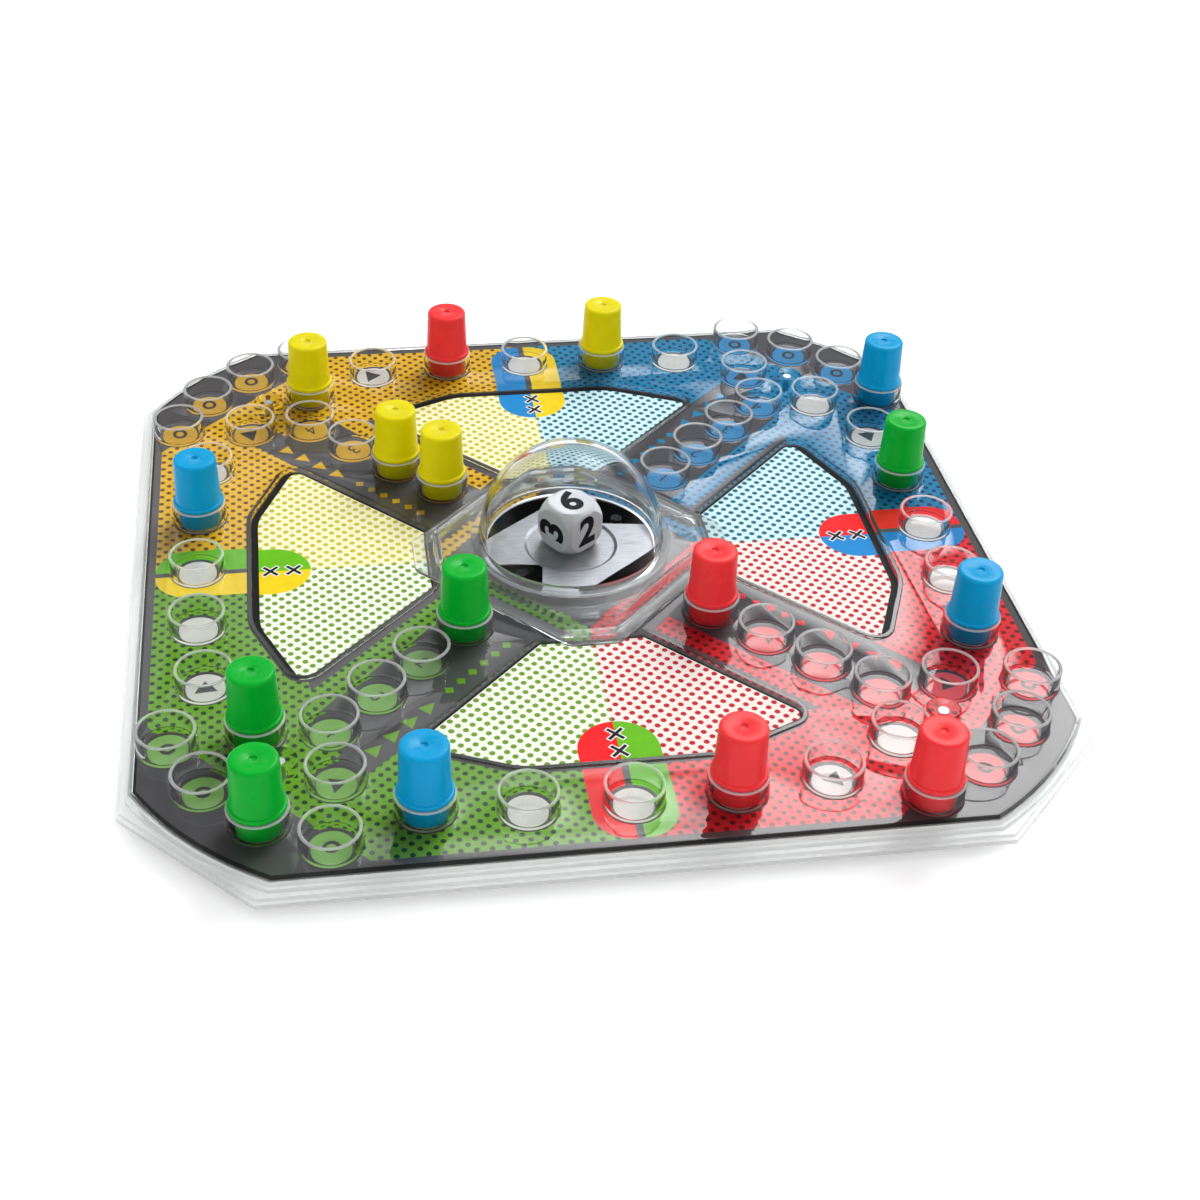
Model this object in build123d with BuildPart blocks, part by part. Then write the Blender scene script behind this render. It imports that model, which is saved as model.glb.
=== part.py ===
"""Pop-up dice board game: a clear tray and cover hold a printed card, and a clear dome in the middle
presses a sprung steel plate that throws the die. Sixteen pegs stand in the cover's cups.

Millimetres. The origin is under the middle of the tray, on the surface that it rests on. +Z is up, the
red player's corner is at +X, -Y, and the other corners follow anticlockwise: blue, yellow, green.
"""

from build123d import *
from math import asin, cos, degrees, radians, sin, sqrt
import os

# Card, whose outline follows the cups that it has to lie under
card_side_margin = 7.2
card_corner_margin = 5.1
card_corner_bulge = 3.2
card_thickness = 1.5

# Tray
tray_floor = 1.6
tray_wall = 1.8
tray_wall_inset = 3.9
tray_depth = 7.5
rib_thickness = 1.6
brim_underside = 3.8
brim_thickness = 1.5
tray_brim_beyond_cover = 1.0

# Cover
cover_thickness = 1.8
skirt_wall = 1.2
skirt_gap = 0.3
cover_brim_beyond_skirt = 1.4
cover_brim_beyond_corner = 0.1
cover_brim_thickness = 1.3
skirt_step_out = 0.9
skirt_step_height = 1.3
lip_width = 1.4
lip_height = 0.4
lip_rounding = 0.3

# Windows in the cover, given for the one at -Y
window_to_track = 7.8
window_under_flange = 5.0
window_flat = 27.5
window_shoulder_slope = 0.43
window_to_finish_cups = 11.7
window_corner = 5.0
window_bend = 20.0
window_tip_corner = 2.5

# Cups and their places
cup_radius = 8.3
cup_wall = 1.0
cup_height = 6.7
cup_rim_rounding = 0.3
finish_to_housing = 3.7
finish_gap = 2.7
post_to_finish_cup = 6.25
home_cup_to_post = 5.95
home_arc_radius = 69.0
home_gap = 3.8
track_corner_back = 5.9
track_corner_aside = 6.3
track_step_1_along = 22.5
track_step_1_out = 13.9
track_step_2_along = 26.6
track_step_2_out = 2.3
track_step_3_out = 0.5
cups_per_row = 4

# Corner posts and their screws
post_radius = 4.95
post_height = 4.0
post_rounding = 0.6
boss_wall = 1.9
screw_radius = 1.45
screw_clearance = 0.05
screw_length = 10.4
screw_head_radius = 2.9
screw_head_height = 1.8
screw_head_clearance = 0.4
screw_head_depth = 1.2
screw_slot_width = 0.8
screw_slot_depth = 0.9
card_hole_clearance = 0.9

# Dome housing
housing_short = 42.3
housing_long = 35.9
housing_corner = 4.0
housing_wall = 1.6
housing_taper = 4.0
housing_slope = 0.18
housing_flange_short = 49.0
housing_flange_long = 40.0
housing_flange_thickness = 1.0
housing_lip_gap = 0.3
collar_wall = 2.5
collar_depth = 1.8

# Dome
dome_radius = 28.2
dome_wall = 1.6
dome_running_gap = 0.3
dome_flange_out = 2.8
dome_flange_thickness = 1.2
dome_skirt_above_flange = 2.7
dome_skirt_below_flange = 1.6
dome_top_gap = 0.2
dome_travel = 3.0
dome_press_clearance = 0.5

# Snap plate and the cradle under it
plate_thickness = 0.4
plate_half_width = 19.8
plate_edge_clearance = 0.2
plate_turn = -7.5
notch_aside = 8.7
notch_ahead = 11.2
dish_radius = 14.0
dish_depth = 0.5
dish_wall_run = 1.0
dish_lean = 0.4
cradle_bore_gap = 0.4
cradle_wall = 1.4
cradle_floor = 1.5
cradle_gap = 0.2
cradle_wall_below_cover = 0.2
cradle_post_radius = 7.0
lug_radius = 1.8
lug_distance = 21.0
lug_below_plate_top = 0.2
locating_ring_wall = 1.6

# Die
die_side = 15.0
die_rounding = 2.3
die_corner_ball = 10.2
die_place = (0.0, 2.0)
die_turn = 36.0
die_rest_gap = 0.02

# Pegs
peg_height_above_rim = 16.3
peg_top_radius = 6.6
peg_foot_radius = 7.1
peg_bead_radius = 7.8
peg_bead_height = 1.4
peg_bead_rounding = 0.5
peg_stem_clearance = 0.35
peg_bottom_gap = 0.3
peg_seat_gap = 0.05
peg_wall = 1.3
peg_top_wall = 1.8
peg_top_rounding = 1.0
peg_dot_radius = 1.0
peg_dot_depth = 0.6

# Each peg's seat: whose quarter of the board, the row of cups, and the place in the row
players = ["red", "blue", "yellow", "green"]
peg_seats = {
    "red": ["red track 1", "red home 0", "red finish 0", "yellow track 1"],
    "blue": ["red track 5", "blue home 0", "yellow track 6", "green track 5"],
    "yellow": ["blue track 6", "yellow track 3", "yellow finish 0", "yellow finish 1"],
    "green": ["blue track 1", "green track 3", "green home 2", "green finish 0"],
}

# Places along a diagonal, from the centre outwards
finish_start = housing_flange_long + finish_to_housing + cup_radius
finish_pitch = 2 * cup_radius + finish_gap
finish_end = finish_start + (cups_per_row - 1) * finish_pitch
post_distance = finish_end + cup_radius + post_to_finish_cup + post_radius
home_middle = post_distance + post_radius + home_cup_to_post + cup_radius
home_arc_distance = home_middle - home_arc_radius
home_pitch = 2 * degrees(asin((cup_radius + home_gap / 2) / home_arc_radius))

# Places along a side, from the corner to the middle
track_corner_to_diagonal = cup_radius + track_corner_aside
track_corner_x = (post_distance - track_corner_back - track_corner_to_diagonal) / sqrt(2)
track_corner_y = (post_distance - track_corner_back + track_corner_to_diagonal) / sqrt(2)
track_2_x = track_corner_x - track_step_1_along
track_2_y = track_corner_y + track_step_1_out
track_1_x = track_2_x - track_step_2_along
track_1_y = track_2_y + track_step_2_out
side_track_distance = track_1_y + track_step_3_out
track_stops = [(track_1_x, -track_1_y), (track_2_x, -track_2_y), (track_corner_x, -track_corner_y)]

# Outlines that follow
card_half = side_track_distance + cup_radius + card_side_margin
card_corner_distance = home_middle + cup_radius + card_corner_margin
card_corner_leg = 2 * card_half - sqrt(2) * (card_corner_distance - card_corner_bulge)
skirt_out = skirt_gap + skirt_wall
cover_brim_out = skirt_out + skirt_step_out + cover_brim_beyond_skirt
cover_brim_corner_out = skirt_out + skirt_step_out + cover_brim_beyond_corner
window_outer = side_track_distance - cup_radius - window_to_track
window_inner = housing_flange_short - window_under_flange
window_to_diagonal = cup_radius + window_to_finish_cups

# Heights that follow
card_top = tray_depth + card_thickness
plate_top = card_top + cover_thickness
brim_top = brim_underside + brim_thickness
rim_top = plate_top + cup_height
bore_radius = dome_radius + dome_running_gap
cradle_radius = dome_radius + cradle_bore_gap + cradle_wall
centre_hole_radius = cradle_radius + cradle_gap
collar_radius = bore_radius + collar_wall
flange_bottom = plate_top + dome_travel + dome_press_clearance
flange_top = flange_bottom + dome_flange_thickness
collar_bottom = flange_top + dome_top_gap
collar_top = collar_bottom + collar_depth
housing_height = collar_top - plate_top
dome_bottom = flange_bottom - dome_skirt_below_flange
dome_centre = flange_top + dome_skirt_above_flange
snap_top = dome_bottom - plate_edge_clearance
snap_bottom = snap_top - plate_thickness
dish_top = snap_top - dish_depth
dish_bottom = dish_top - plate_thickness
dish_edge = dish_radius + dish_wall_run
corner_share = 2 - sqrt(2)

os.makedirs("parts", exist_ok=True)


def turned(place, quarters):
    """A place in the plane, turned anticlockwise about the centre by quarter turns."""
    return Vector(*place).rotate(Axis.Z, 90 * quarters)


def outline(half, leg, bulge):
    """Draw a square outline with cut corners, each cut bowed outwards by bulge."""
    for quarter in range(4):
        before = turned((leg - half, -half), quarter)
        start = turned((half - leg, -half), quarter)
        end = turned((half, leg - half), quarter)
        out = (half - leg / 2) + bulge / sqrt(2)
        Line(before, start)
        if bulge > 0:
            ThreePointArc(start, turned((out, -out), quarter), end)
        else:
            Line(start, end)


def board_face(offset_out, mode=Mode.ADD):
    """A face of the card's outline, grown outwards by offset_out."""
    with BuildLine() as edge:
        outline(card_half + offset_out, card_corner_leg + corner_share * offset_out, card_corner_bulge)
    make_face(edge.edges(), mode=mode)


def brim_face(side_out, corner_out):
    """A face with straight cut corners, for the brims, that reaches out past the card's outline."""
    half = card_half + side_out
    with BuildLine() as edge:
        outline(half, 2 * half - sqrt(2) * (card_corner_distance + corner_out), 0)
    make_face(edge.edges())


def octagon_face(grow, flange=False, mode=Mode.ADD):
    """The octagon of the housing or of its flange: short sides face the windows, long ones the corners."""
    short = (housing_flange_short if flange else housing_short) + grow
    long = (housing_flange_long if flange else housing_long) + grow
    half_side = long * sqrt(2) - short
    corners = [turned(place, k) for k in range(4) for place in ((-half_side, -short), (half_side, -short))]
    with BuildLine() as edge:
        FilletPolyline(*corners, radius=housing_corner + grow, close=True)
    make_face(edge.edges(), mode=mode)


def window_corners(grow):
    """The +X side corners of the window at -Y, from its outer flat to its tip, grown outwards by grow."""
    slope = window_shoulder_slope
    to_side = (window_to_diagonal - grow) * sqrt(2)
    shoulder = slope * window_flat + window_outer + grow * sqrt(1 + slope**2)
    corner_x = (shoulder - to_side) / (1 + slope)
    return [
        ((shoulder - window_outer - grow) / slope, -window_outer - grow),
        (corner_x, -to_side - corner_x),
        (window_inner - grow - to_side, grow - window_inner),
    ]


def window_faces(grow):
    """Faces of the four windows, grown outwards by grow."""
    right = window_corners(grow)
    left = [(-x, y) for x, y in reversed(right)]
    radii = [radius + grow for radius in (window_bend, window_corner, window_tip_corner)]
    for quarter in range(4):
        points = [turned(place, quarter) for place in right + left]
        with BuildLine() as edge:
            FilletPolyline(*points, radius=radii + radii[::-1], close=True)
        make_face(edge.edges())


def on_diagonal(distance, quarter):
    """The place at this distance from the centre, towards a corner."""
    return turned((distance / sqrt(2), -distance / sqrt(2)), quarter)


def track_places(quarter):
    """Seven cups of the track, from the middle of a side round its corner."""
    mirrored = [(-y, -x) for x, y in reversed(track_stops)]
    stops = [(0, -side_track_distance)] + track_stops + mirrored
    return [turned(place, quarter) for place in stops]


def home_places(quarter):
    """The cups on the arc outside the track's corner."""
    first = -home_pitch * (cups_per_row - 1) / 2
    angles = [radians(first + home_pitch * k) for k in range(cups_per_row)]
    arc = [(home_arc_distance + home_arc_radius * cos(a), home_arc_radius * sin(a)) for a in angles]
    return [turned(((u + v) / sqrt(2), (v - u) / sqrt(2)), quarter) for u, v in arc]


def finish_places(quarter):
    """The cups on the diagonal, from the centre outwards."""
    return [on_diagonal(finish_start + finish_pitch * k, quarter) for k in range(cups_per_row)]


rows = {"track": track_places, "home": home_places, "finish": finish_places}
post_places = [on_diagonal(post_distance, quarter) for quarter in range(4)]


def build_cups(row):
    """One row's cups in all four quarters, standing on the cover."""
    places = [place for quarter in range(4) for place in rows[row](quarter)]
    with BuildPart() as cups:
        with BuildSketch(Plane.XY.offset(plate_top)):
            with Locations(*places):
                Circle(cup_radius)
                Circle(cup_radius - cup_wall, mode=Mode.SUBTRACT)
        extrude(amount=cup_height)
        fillet(cups.edges().filter_by(GeomType.CIRCLE).group_by(Axis.Z)[-1], radius=cup_rim_rounding)
    return cups


def build_peg(place):
    """A hollow peg with a bead that rests on its cup's rim and a stem that fills the cup."""
    side = Plane(origin=(place.X, place.Y, 0), x_dir=(1, 0, 0), z_dir=(0, -1, 0))
    stem = cup_radius - cup_wall - peg_stem_clearance
    seat = rim_top + peg_seat_gap
    bottom = plate_top + peg_bottom_gap
    bead_top = seat + peg_bead_height
    top = rim_top + peg_height_above_rim
    with BuildPart() as peg:
        with BuildSketch(side):
            with BuildLine():
                Polyline(
                    (0, top - peg_top_wall),
                    (peg_top_radius - peg_wall, top - peg_top_wall),
                    (stem - peg_wall, bottom),
                    (stem, bottom),
                    (stem, seat),
                    (peg_bead_radius, seat),
                    (peg_bead_radius, bead_top),
                    (peg_foot_radius, bead_top),
                    (peg_top_radius, top),
                    (0, top),
                    close=True,
                )
            make_face()
        revolve(axis=Axis(side.origin, (0, 0, 1)))
        rim = peg.edges().filter_by(GeomType.CIRCLE).group_by(Axis.Z)[-1]
        fillet(rim, radius=peg_top_rounding)
        bead = peg.edges().filter_by(GeomType.CIRCLE).sort_by(SortBy.RADIUS)[-2:]
        fillet(bead, radius=peg_bead_rounding)
        with BuildSketch(Plane(origin=(place.X, place.Y, top))):
            Circle(peg_dot_radius)
        extrude(amount=-peg_dot_depth, mode=Mode.SUBTRACT)
    return peg


# Tray: a floor, a wall that the card lies on, ribs, screw bosses and an outer brim
boss_radius = screw_head_radius + screw_head_clearance + boss_wall
with BuildPart() as base_tray:
    with BuildSketch():
        board_face(-tray_wall_inset)
    extrude(amount=tray_floor)
    with BuildSketch(Plane.XY.offset(tray_floor)):
        board_face(-tray_wall_inset)
        board_face(-tray_wall_inset - tray_wall, mode=Mode.SUBTRACT)
    extrude(amount=tray_depth - tray_floor)
    with BuildSketch(Plane.XY.offset(brim_underside)):
        brim_face(cover_brim_out + tray_brim_beyond_cover, cover_brim_corner_out + tray_brim_beyond_cover)
        board_face(-tray_wall_inset - tray_wall / 2, mode=Mode.SUBTRACT)
    extrude(amount=brim_thickness)
    with BuildSketch(Plane.XY.offset(tray_floor)):
        for quarter in range(4):
            with Locations(Location(on_diagonal(post_distance / 2, quarter), -45 + 90 * quarter)):
                Rectangle(post_distance, rib_thickness)
        Circle(centre_hole_radius + locating_ring_wall)
        Circle(centre_hole_radius, mode=Mode.SUBTRACT)
        with Locations(*post_places):
            Circle(boss_radius)
    extrude(amount=tray_depth - tray_floor)
    head_seat = screw_head_depth + screw_head_height
    with BuildSketch():
        with Locations(*post_places):
            Circle(screw_head_radius + screw_head_clearance)
    extrude(amount=head_seat, mode=Mode.SUBTRACT)
    with BuildSketch():
        with Locations(*post_places):
            Circle(screw_radius + screw_clearance)
    extrude(amount=tray_depth, mode=Mode.SUBTRACT)
base_tray.part.label = "base_tray"
export_step(base_tray.part, "parts/base_tray.step")

# Printed card, with a hole for the die mechanism
with BuildPart() as printed_card:
    with BuildSketch(Plane.XY.offset(tray_depth)):
        board_face(0)
        Circle(centre_hole_radius, mode=Mode.SUBTRACT)
        with Locations(*post_places):
            Circle(screw_radius + card_hole_clearance, mode=Mode.SUBTRACT)
    extrude(amount=card_thickness)
printed_card.part.label = "printed_card"
export_step(printed_card.part, "parts/printed_card.step")

# Cover: a plate with four lipped windows, a stepped skirt down to the brim, and closed corner posts
with BuildPart() as top_cover:
    with BuildSketch(Plane.XY.offset(card_top)):
        board_face(skirt_out)
    extrude(amount=cover_thickness)
    with BuildSketch(Plane.XY.offset(brim_top)):
        board_face(skirt_out)
        board_face(skirt_gap, mode=Mode.SUBTRACT)
    extrude(amount=card_top - brim_top)
    with BuildSketch(Plane.XY.offset(brim_top)):
        board_face(skirt_out + skirt_step_out)
        board_face(skirt_gap, mode=Mode.SUBTRACT)
    extrude(amount=cover_brim_thickness + skirt_step_height)
    with BuildSketch(Plane.XY.offset(brim_top)):
        brim_face(cover_brim_out, cover_brim_corner_out)
        board_face(skirt_gap, mode=Mode.SUBTRACT)
    extrude(amount=cover_brim_thickness)
    with BuildSketch(Plane.XY.offset(plate_top)):
        window_faces(lip_width)
    lips = extrude(amount=lip_height)
    fillet(lips.edges().group_by(Axis.Z)[-1], radius=lip_rounding)
    with BuildSketch(Plane.XY.offset(card_top)):
        window_faces(0)
        Circle(centre_hole_radius)
    extrude(amount=cover_thickness + lip_height, mode=Mode.SUBTRACT)
    with BuildSketch(Plane.XY.offset(plate_top)):
        octagon_face(housing_lip_gap, flange=True)
    extrude(amount=lip_height, mode=Mode.SUBTRACT)
    with BuildSketch(Plane.XY.offset(plate_top)):
        with Locations(*post_places):
            Circle(post_radius)
    extrude(amount=post_height)
    fillet(top_cover.edges().group_by(Axis.Z)[-1], radius=post_rounding)
    with BuildSketch(Plane.XY.offset(card_top)):
        with Locations(*post_places):
            Circle(screw_radius + screw_clearance)
    extrude(amount=head_seat + screw_length + screw_clearance - card_top, mode=Mode.SUBTRACT)
top_cover.part.label = "top_cover"
export_step(top_cover.part, "parts/top_cover.step")

# Cups, one group for each kind of row
for row in rows:
    cups = build_cups(row)
    cups.part.label = f"{row}_cups"
    export_step(cups.part, f"parts/{row}_cups.step")

# Screws, driven up from under the tray into the cover's posts
with BuildPart() as corner_screws:
    with BuildSketch(Plane.XY.offset(screw_head_depth)):
        with Locations(*post_places):
            Circle(screw_head_radius)
    extrude(amount=screw_head_height)
    with BuildSketch(Plane.XY.offset(head_seat)):
        with Locations(*post_places):
            Circle(screw_radius)
    extrude(amount=screw_length)
    with BuildSketch(Plane.XY.offset(screw_head_depth)):
        with Locations(*post_places):
            Rectangle(screw_head_radius, screw_slot_width)
            Rectangle(screw_slot_width, screw_head_radius)
    extrude(amount=screw_slot_depth, mode=Mode.SUBTRACT)
corner_screws.part.label = "corner_screws"
export_step(corner_screws.part, "parts/corner_screws.step")

# The hollow under the housing's roof, which falls from the collar to the edges
roof_reach = housing_flange_short * sqrt(2)
roof_edge = collar_top - housing_slope * (roof_reach - collar_radius)
with BuildPart() as housing_hollow:
    with BuildSketch(Plane.XY.offset(plate_top)):
        octagon_face(-housing_wall)
    extrude(amount=housing_height - housing_wall, taper=housing_taper)
    with BuildSketch(Plane.XZ):
        with BuildLine():
            Polyline(
                (collar_radius, collar_top - housing_wall),
                (roof_reach, roof_edge - housing_wall),
                (roof_reach, collar_top),
                (collar_radius, collar_top),
                close=True,
            )
        make_face()
    revolve(axis=Axis.Z, mode=Mode.SUBTRACT)

# Housing: an octagonal clear cap with a collar round the dome and a flange on the cover
with BuildPart() as dome_housing:
    with BuildSketch(Plane.XY.offset(plate_top)):
        octagon_face(0)
    extrude(amount=housing_height, taper=housing_taper)
    with BuildSketch(Plane.XZ):
        with BuildLine():
            Polyline(
                (collar_radius, collar_top),
                (roof_reach, roof_edge),
                (roof_reach, collar_top + collar_depth),
                (collar_radius, collar_top + collar_depth),
                close=True,
            )
        make_face()
    revolve(axis=Axis.Z, mode=Mode.SUBTRACT)
    add(housing_hollow.part, mode=Mode.SUBTRACT)
    with BuildSketch(Plane.XY.offset(collar_bottom)):
        Circle(collar_radius)
    extrude(amount=collar_depth)
    with BuildSketch(Plane.XY.offset(plate_top)):
        octagon_face(0, flange=True)
        octagon_face(-housing_wall, mode=Mode.SUBTRACT)
    extrude(amount=housing_flange_thickness)
    with BuildSketch(Plane.XY.offset(collar_bottom)):
        Circle(bore_radius)
    extrude(amount=collar_depth, mode=Mode.SUBTRACT)
dome_housing.part.label = "dome_housing"
export_step(dome_housing.part, "parts/dome_housing.step")

# Dome: half a sphere on a short skirt, with a flange that the collar holds down
with BuildPart() as dome:
    inner = dome_radius - dome_wall
    with BuildSketch(Plane.XZ):
        with BuildLine():
            Polyline(
                (inner, dome_centre),
                (inner, dome_bottom),
                (dome_radius, dome_bottom),
                (dome_radius, flange_bottom),
                (dome_radius + dome_flange_out, flange_bottom),
                (dome_radius + dome_flange_out, flange_top),
                (dome_radius, flange_top),
                (dome_radius, dome_centre),
            )
            CenterArc((0, dome_centre), dome_radius, 0, 90)
            Line((0, dome_centre + dome_radius), (0, dome_centre + inner))
            CenterArc((0, dome_centre), inner, 0, 90)
        make_face()
    revolve(axis=Axis.Z)
dome.part.label = "dome"
export_step(dome.part, "parts/dome.step")

# Snap plate: spring steel with a shallow dish, two long straight edges and a notch at each end
notch = [
    (notch_aside, notch_ahead),
    (dome_radius, notch_ahead),
    (dome_radius, dome_radius),
    (notch_aside, dome_radius),
]
with BuildPart() as snap_plate:
    with BuildSketch(Plane.XY.offset(snap_bottom)):
        Circle(dome_radius - plate_edge_clearance)
        with Locations(Location((0, 0), 45)):
            Rectangle(2 * dome_radius, 2 * plate_half_width, mode=Mode.INTERSECT)
        for quarters in (0, 2):
            with BuildLine():
                Polyline(*[turned(corner, quarters) for corner in notch], close=True)
            make_face(mode=Mode.SUBTRACT)
        Circle(dish_edge, mode=Mode.SUBTRACT)
    extrude(amount=plate_thickness)
    with BuildSketch(Plane.XZ):
        with BuildLine():
            Polyline(
                (0, dish_bottom),
                (dish_radius, dish_bottom),
                (dish_edge, snap_bottom),
                (dish_edge, snap_top),
                (dish_edge - dish_lean, snap_top),
                (dish_radius - dish_lean, dish_top),
                (0, dish_top),
                close=True,
            )
        make_face()
    revolve(axis=Axis.Z)
turned_plate = snap_plate.part.rotate(Axis.Z, plate_turn)
turned_plate.label = "snap_plate"
export_step(turned_plate, "parts/snap_plate.step")

# Cradle: a cup in the tray's ring, whose post carries the dish and whose lugs stand in the notches
with BuildPart() as plate_cradle:
    with BuildSketch(Plane.XY.offset(tray_floor)):
        Circle(cradle_radius)
    extrude(amount=cradle_floor)
    with BuildSketch(Plane.XY.offset(tray_floor)):
        Circle(cradle_radius)
        Circle(cradle_radius - cradle_wall, mode=Mode.SUBTRACT)
    extrude(amount=plate_top - cradle_wall_below_cover - tray_floor)
    with BuildSketch(Plane.XY.offset(tray_floor)):
        Circle(cradle_post_radius)
    extrude(amount=dish_bottom - tray_floor)
    with BuildSketch(Plane.XY.offset(tray_floor)):
        with Locations(on_diagonal(lug_distance, 1), on_diagonal(lug_distance, 3)):
            Circle(lug_radius)
    extrude(amount=snap_top - lug_below_plate_top - tray_floor)
turned_cradle = plate_cradle.part.rotate(Axis.Z, plate_turn)
turned_cradle.label = "plate_cradle"
export_step(turned_cradle, "parts/plate_cradle.step")

# Die, standing in the plate's dish, its corners turned to a ball
with BuildPart() as die:
    with BuildSketch(Plane.XY.offset(dish_top + die_rest_gap)):
        with Locations(Location(die_place, die_turn)):
            Rectangle(die_side, die_side)
    extrude(amount=die_side)
    fillet(die.edges(), radius=die_rounding)
    with Locations((*die_place, dish_top + die_rest_gap + die_side / 2)):
        Sphere(die_corner_ball, mode=Mode.INTERSECT)
die.part.label = "die"
export_step(die.part, "parts/die.step")

# Pegs, each in its seat
for colour, seats in peg_seats.items():
    for number, seat in enumerate(seats, 1):
        player, row, index = seat.split()
        peg = build_peg(rows[row](players.index(player))[int(index)])
        peg.part.label = f"peg_{colour}_{number}"
        export_step(peg.part, f"parts/peg_{colour}_{number}.step")
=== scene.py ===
"""Looks of a pop-up dice board game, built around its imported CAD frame.

Every length in the code is in millimetres until it reaches a mesh, which is in metres. The places of the
cups, posts and windows follow the same chain of sizes as the part's source.
"""

from math import acos, asin, atan2, cos, hypot, pi, radians, sin, sqrt, tan

import bmesh
import bpy
from mathutils import Matrix, Vector


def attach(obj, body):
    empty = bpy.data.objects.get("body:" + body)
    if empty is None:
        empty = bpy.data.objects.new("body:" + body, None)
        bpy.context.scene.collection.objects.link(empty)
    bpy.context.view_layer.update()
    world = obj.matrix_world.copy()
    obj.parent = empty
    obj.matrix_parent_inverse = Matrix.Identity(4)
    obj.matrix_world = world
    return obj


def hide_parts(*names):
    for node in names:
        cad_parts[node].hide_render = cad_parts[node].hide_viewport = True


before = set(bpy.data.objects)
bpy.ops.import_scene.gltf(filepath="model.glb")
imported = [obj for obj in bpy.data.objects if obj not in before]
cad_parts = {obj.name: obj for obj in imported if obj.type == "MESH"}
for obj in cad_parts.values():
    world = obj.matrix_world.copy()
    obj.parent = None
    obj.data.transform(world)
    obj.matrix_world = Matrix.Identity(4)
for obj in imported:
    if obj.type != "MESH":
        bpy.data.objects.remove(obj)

bl_info = {
    "name": "Pop-up dice game looks",
    "version": (1, 0, 0),
    "blender": (4, 5, 0),
    "location": "View3D > Sidebar > Dice game",
    "description": "Builds the clear cover, printed card, pegs, die and stage round the CAD frame",
    "category": "Object",
}

MM = 0.001
ROOT2 = sqrt(2)
PLAYERS = ("red", "blue", "yellow", "green")

# Heights
TRAY_TOP = 7.5
CARD_TOP = 9.0
PLATE_TOP = 10.8
RIM_TOP = 17.5
BRIM_TOP = 5.3

# Cups and the chain of places along a diagonal
CUP_RADIUS = 8.3
CUP_WALL = 1.0
POST_RADIUS = 4.95
FINISH_START = 52.0
FINISH_PITCH = 19.3
FINISH_END = FINISH_START + 3 * FINISH_PITCH
POST_DISTANCE = FINISH_END + CUP_RADIUS + 6.25 + POST_RADIUS
HOME_MIDDLE = POST_DISTANCE + POST_RADIUS + 5.95 + CUP_RADIUS
HOME_RADIUS = 69.0
HOME_PITCH = 2 * asin((CUP_RADIUS + 1.9) / HOME_RADIUS)

# The track from the corner to the middle of a side
CORNER_ASIDE = CUP_RADIUS + 6.3
CORNER_X = (POST_DISTANCE - 5.9 - CORNER_ASIDE) / ROOT2
CORNER_Y = (POST_DISTANCE - 5.9 + CORNER_ASIDE) / ROOT2
TRACK_STOPS = [
    (CORNER_X - 49.1, -CORNER_Y - 16.2),
    (CORNER_X - 22.5, -CORNER_Y - 13.9),
    (CORNER_X, -CORNER_Y),
]
TRACK_SIDE = CORNER_Y + 16.7

# Card and windows
CARD_HALF = TRACK_SIDE + CUP_RADIUS + 7.2
CARD_CORNER = HOME_MIDDLE + CUP_RADIUS + 5.1
CARD_BULGE = 3.2
# Width of the black line of painted shade along the card's edge, which stands in for the edge looking dark
# through the cover
CARD_EDGE_SHADE = 0.7
HOLE_RADIUS = 30.2
CORNER_HOLE_RADIUS = 2.35
WINDOW_OUTER = TRACK_SIDE - CUP_RADIUS - 7.8
WINDOW_INNER = 44.0
WINDOW_FLAT = 27.5
WINDOW_SLOPE = 0.43
WINDOW_DIAGONAL = CUP_RADIUS + 11.7
WINDOW_RADII = (20, 5, 2.5)
WINDOW_PRINT = 0.2
WINDOW_BORDER = 1.5
WINDOW_LINE_OUTSIDE = 0.4
WINDOW_LINE_END = -2.1
WINDOW_LINE_SIDE = -0.45

# Layers of the print, and of the painted shade at the cups' feet, from the card up
LAYERS = ("base", "sectors", "panels", "lozenges", "gaps", "outlines", "borders", "cross_outlines", "crosses",
          "disc_rims", "discs", "marks")
INK_BOTTOM = CARD_TOP - 0.01
INK_TOP = CARD_TOP + 0.02

# Print in a corner, as places out on its diagonal and along to its anticlockwise side
SECTOR_REACH = 127.0
SECTOR_CORNER = 69.6
SECTOR_ROOT = 90.0
SECTOR_INNER = [
    (97.5, 19.5), (117.5, 18.6), (119.9, 8.1), (113.8, 7.8),
    (108, -8.5), (43, -8.5), (43.5, -16.5), (100, -16.5),
]
BAND_INNER = 27.5
BAND_OUTER = 33.5
LANE_ARROWS = (107.0, 99.5, 92.0, 84.5)
LANE_ARROW = [(-2.35, 13.9), (2.35, 11.6), (2.35, 16.2)]
DIAMONDS = 6
DIAMOND_START = 49.5
DIAMOND_PITCH = 5.2
DIAMOND = [(-1.6, 13.6), (0, 11.9), (1.6, 13.6), (0, 15.3)]

# Lozenges in the middle of the sides
LOZENGE_HALF_WIDTH = 11.5
LOZENGE_NEAR = 80.4
LOZENGE_FAR = 127.0
LOZENGE_OUTER_RADIUS = 10.0
LOZENGE_GAP = 1
LOZENGE_GAP_END = 99
CROSSES = (85.6, 92.6)

# Marks under the cups
DISC_RADIUS = 6.1
COLOURED_DISC = 4
ARROW_DISCS = (2, 4)
HOME_RING = (2.5, 1.35)
SMALL_NUMBER = 7.0
ARROW_TIP = 3.0
ARROW_BASE = 2.4
ARROW_HALF_WIDTH = 3.4

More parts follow.
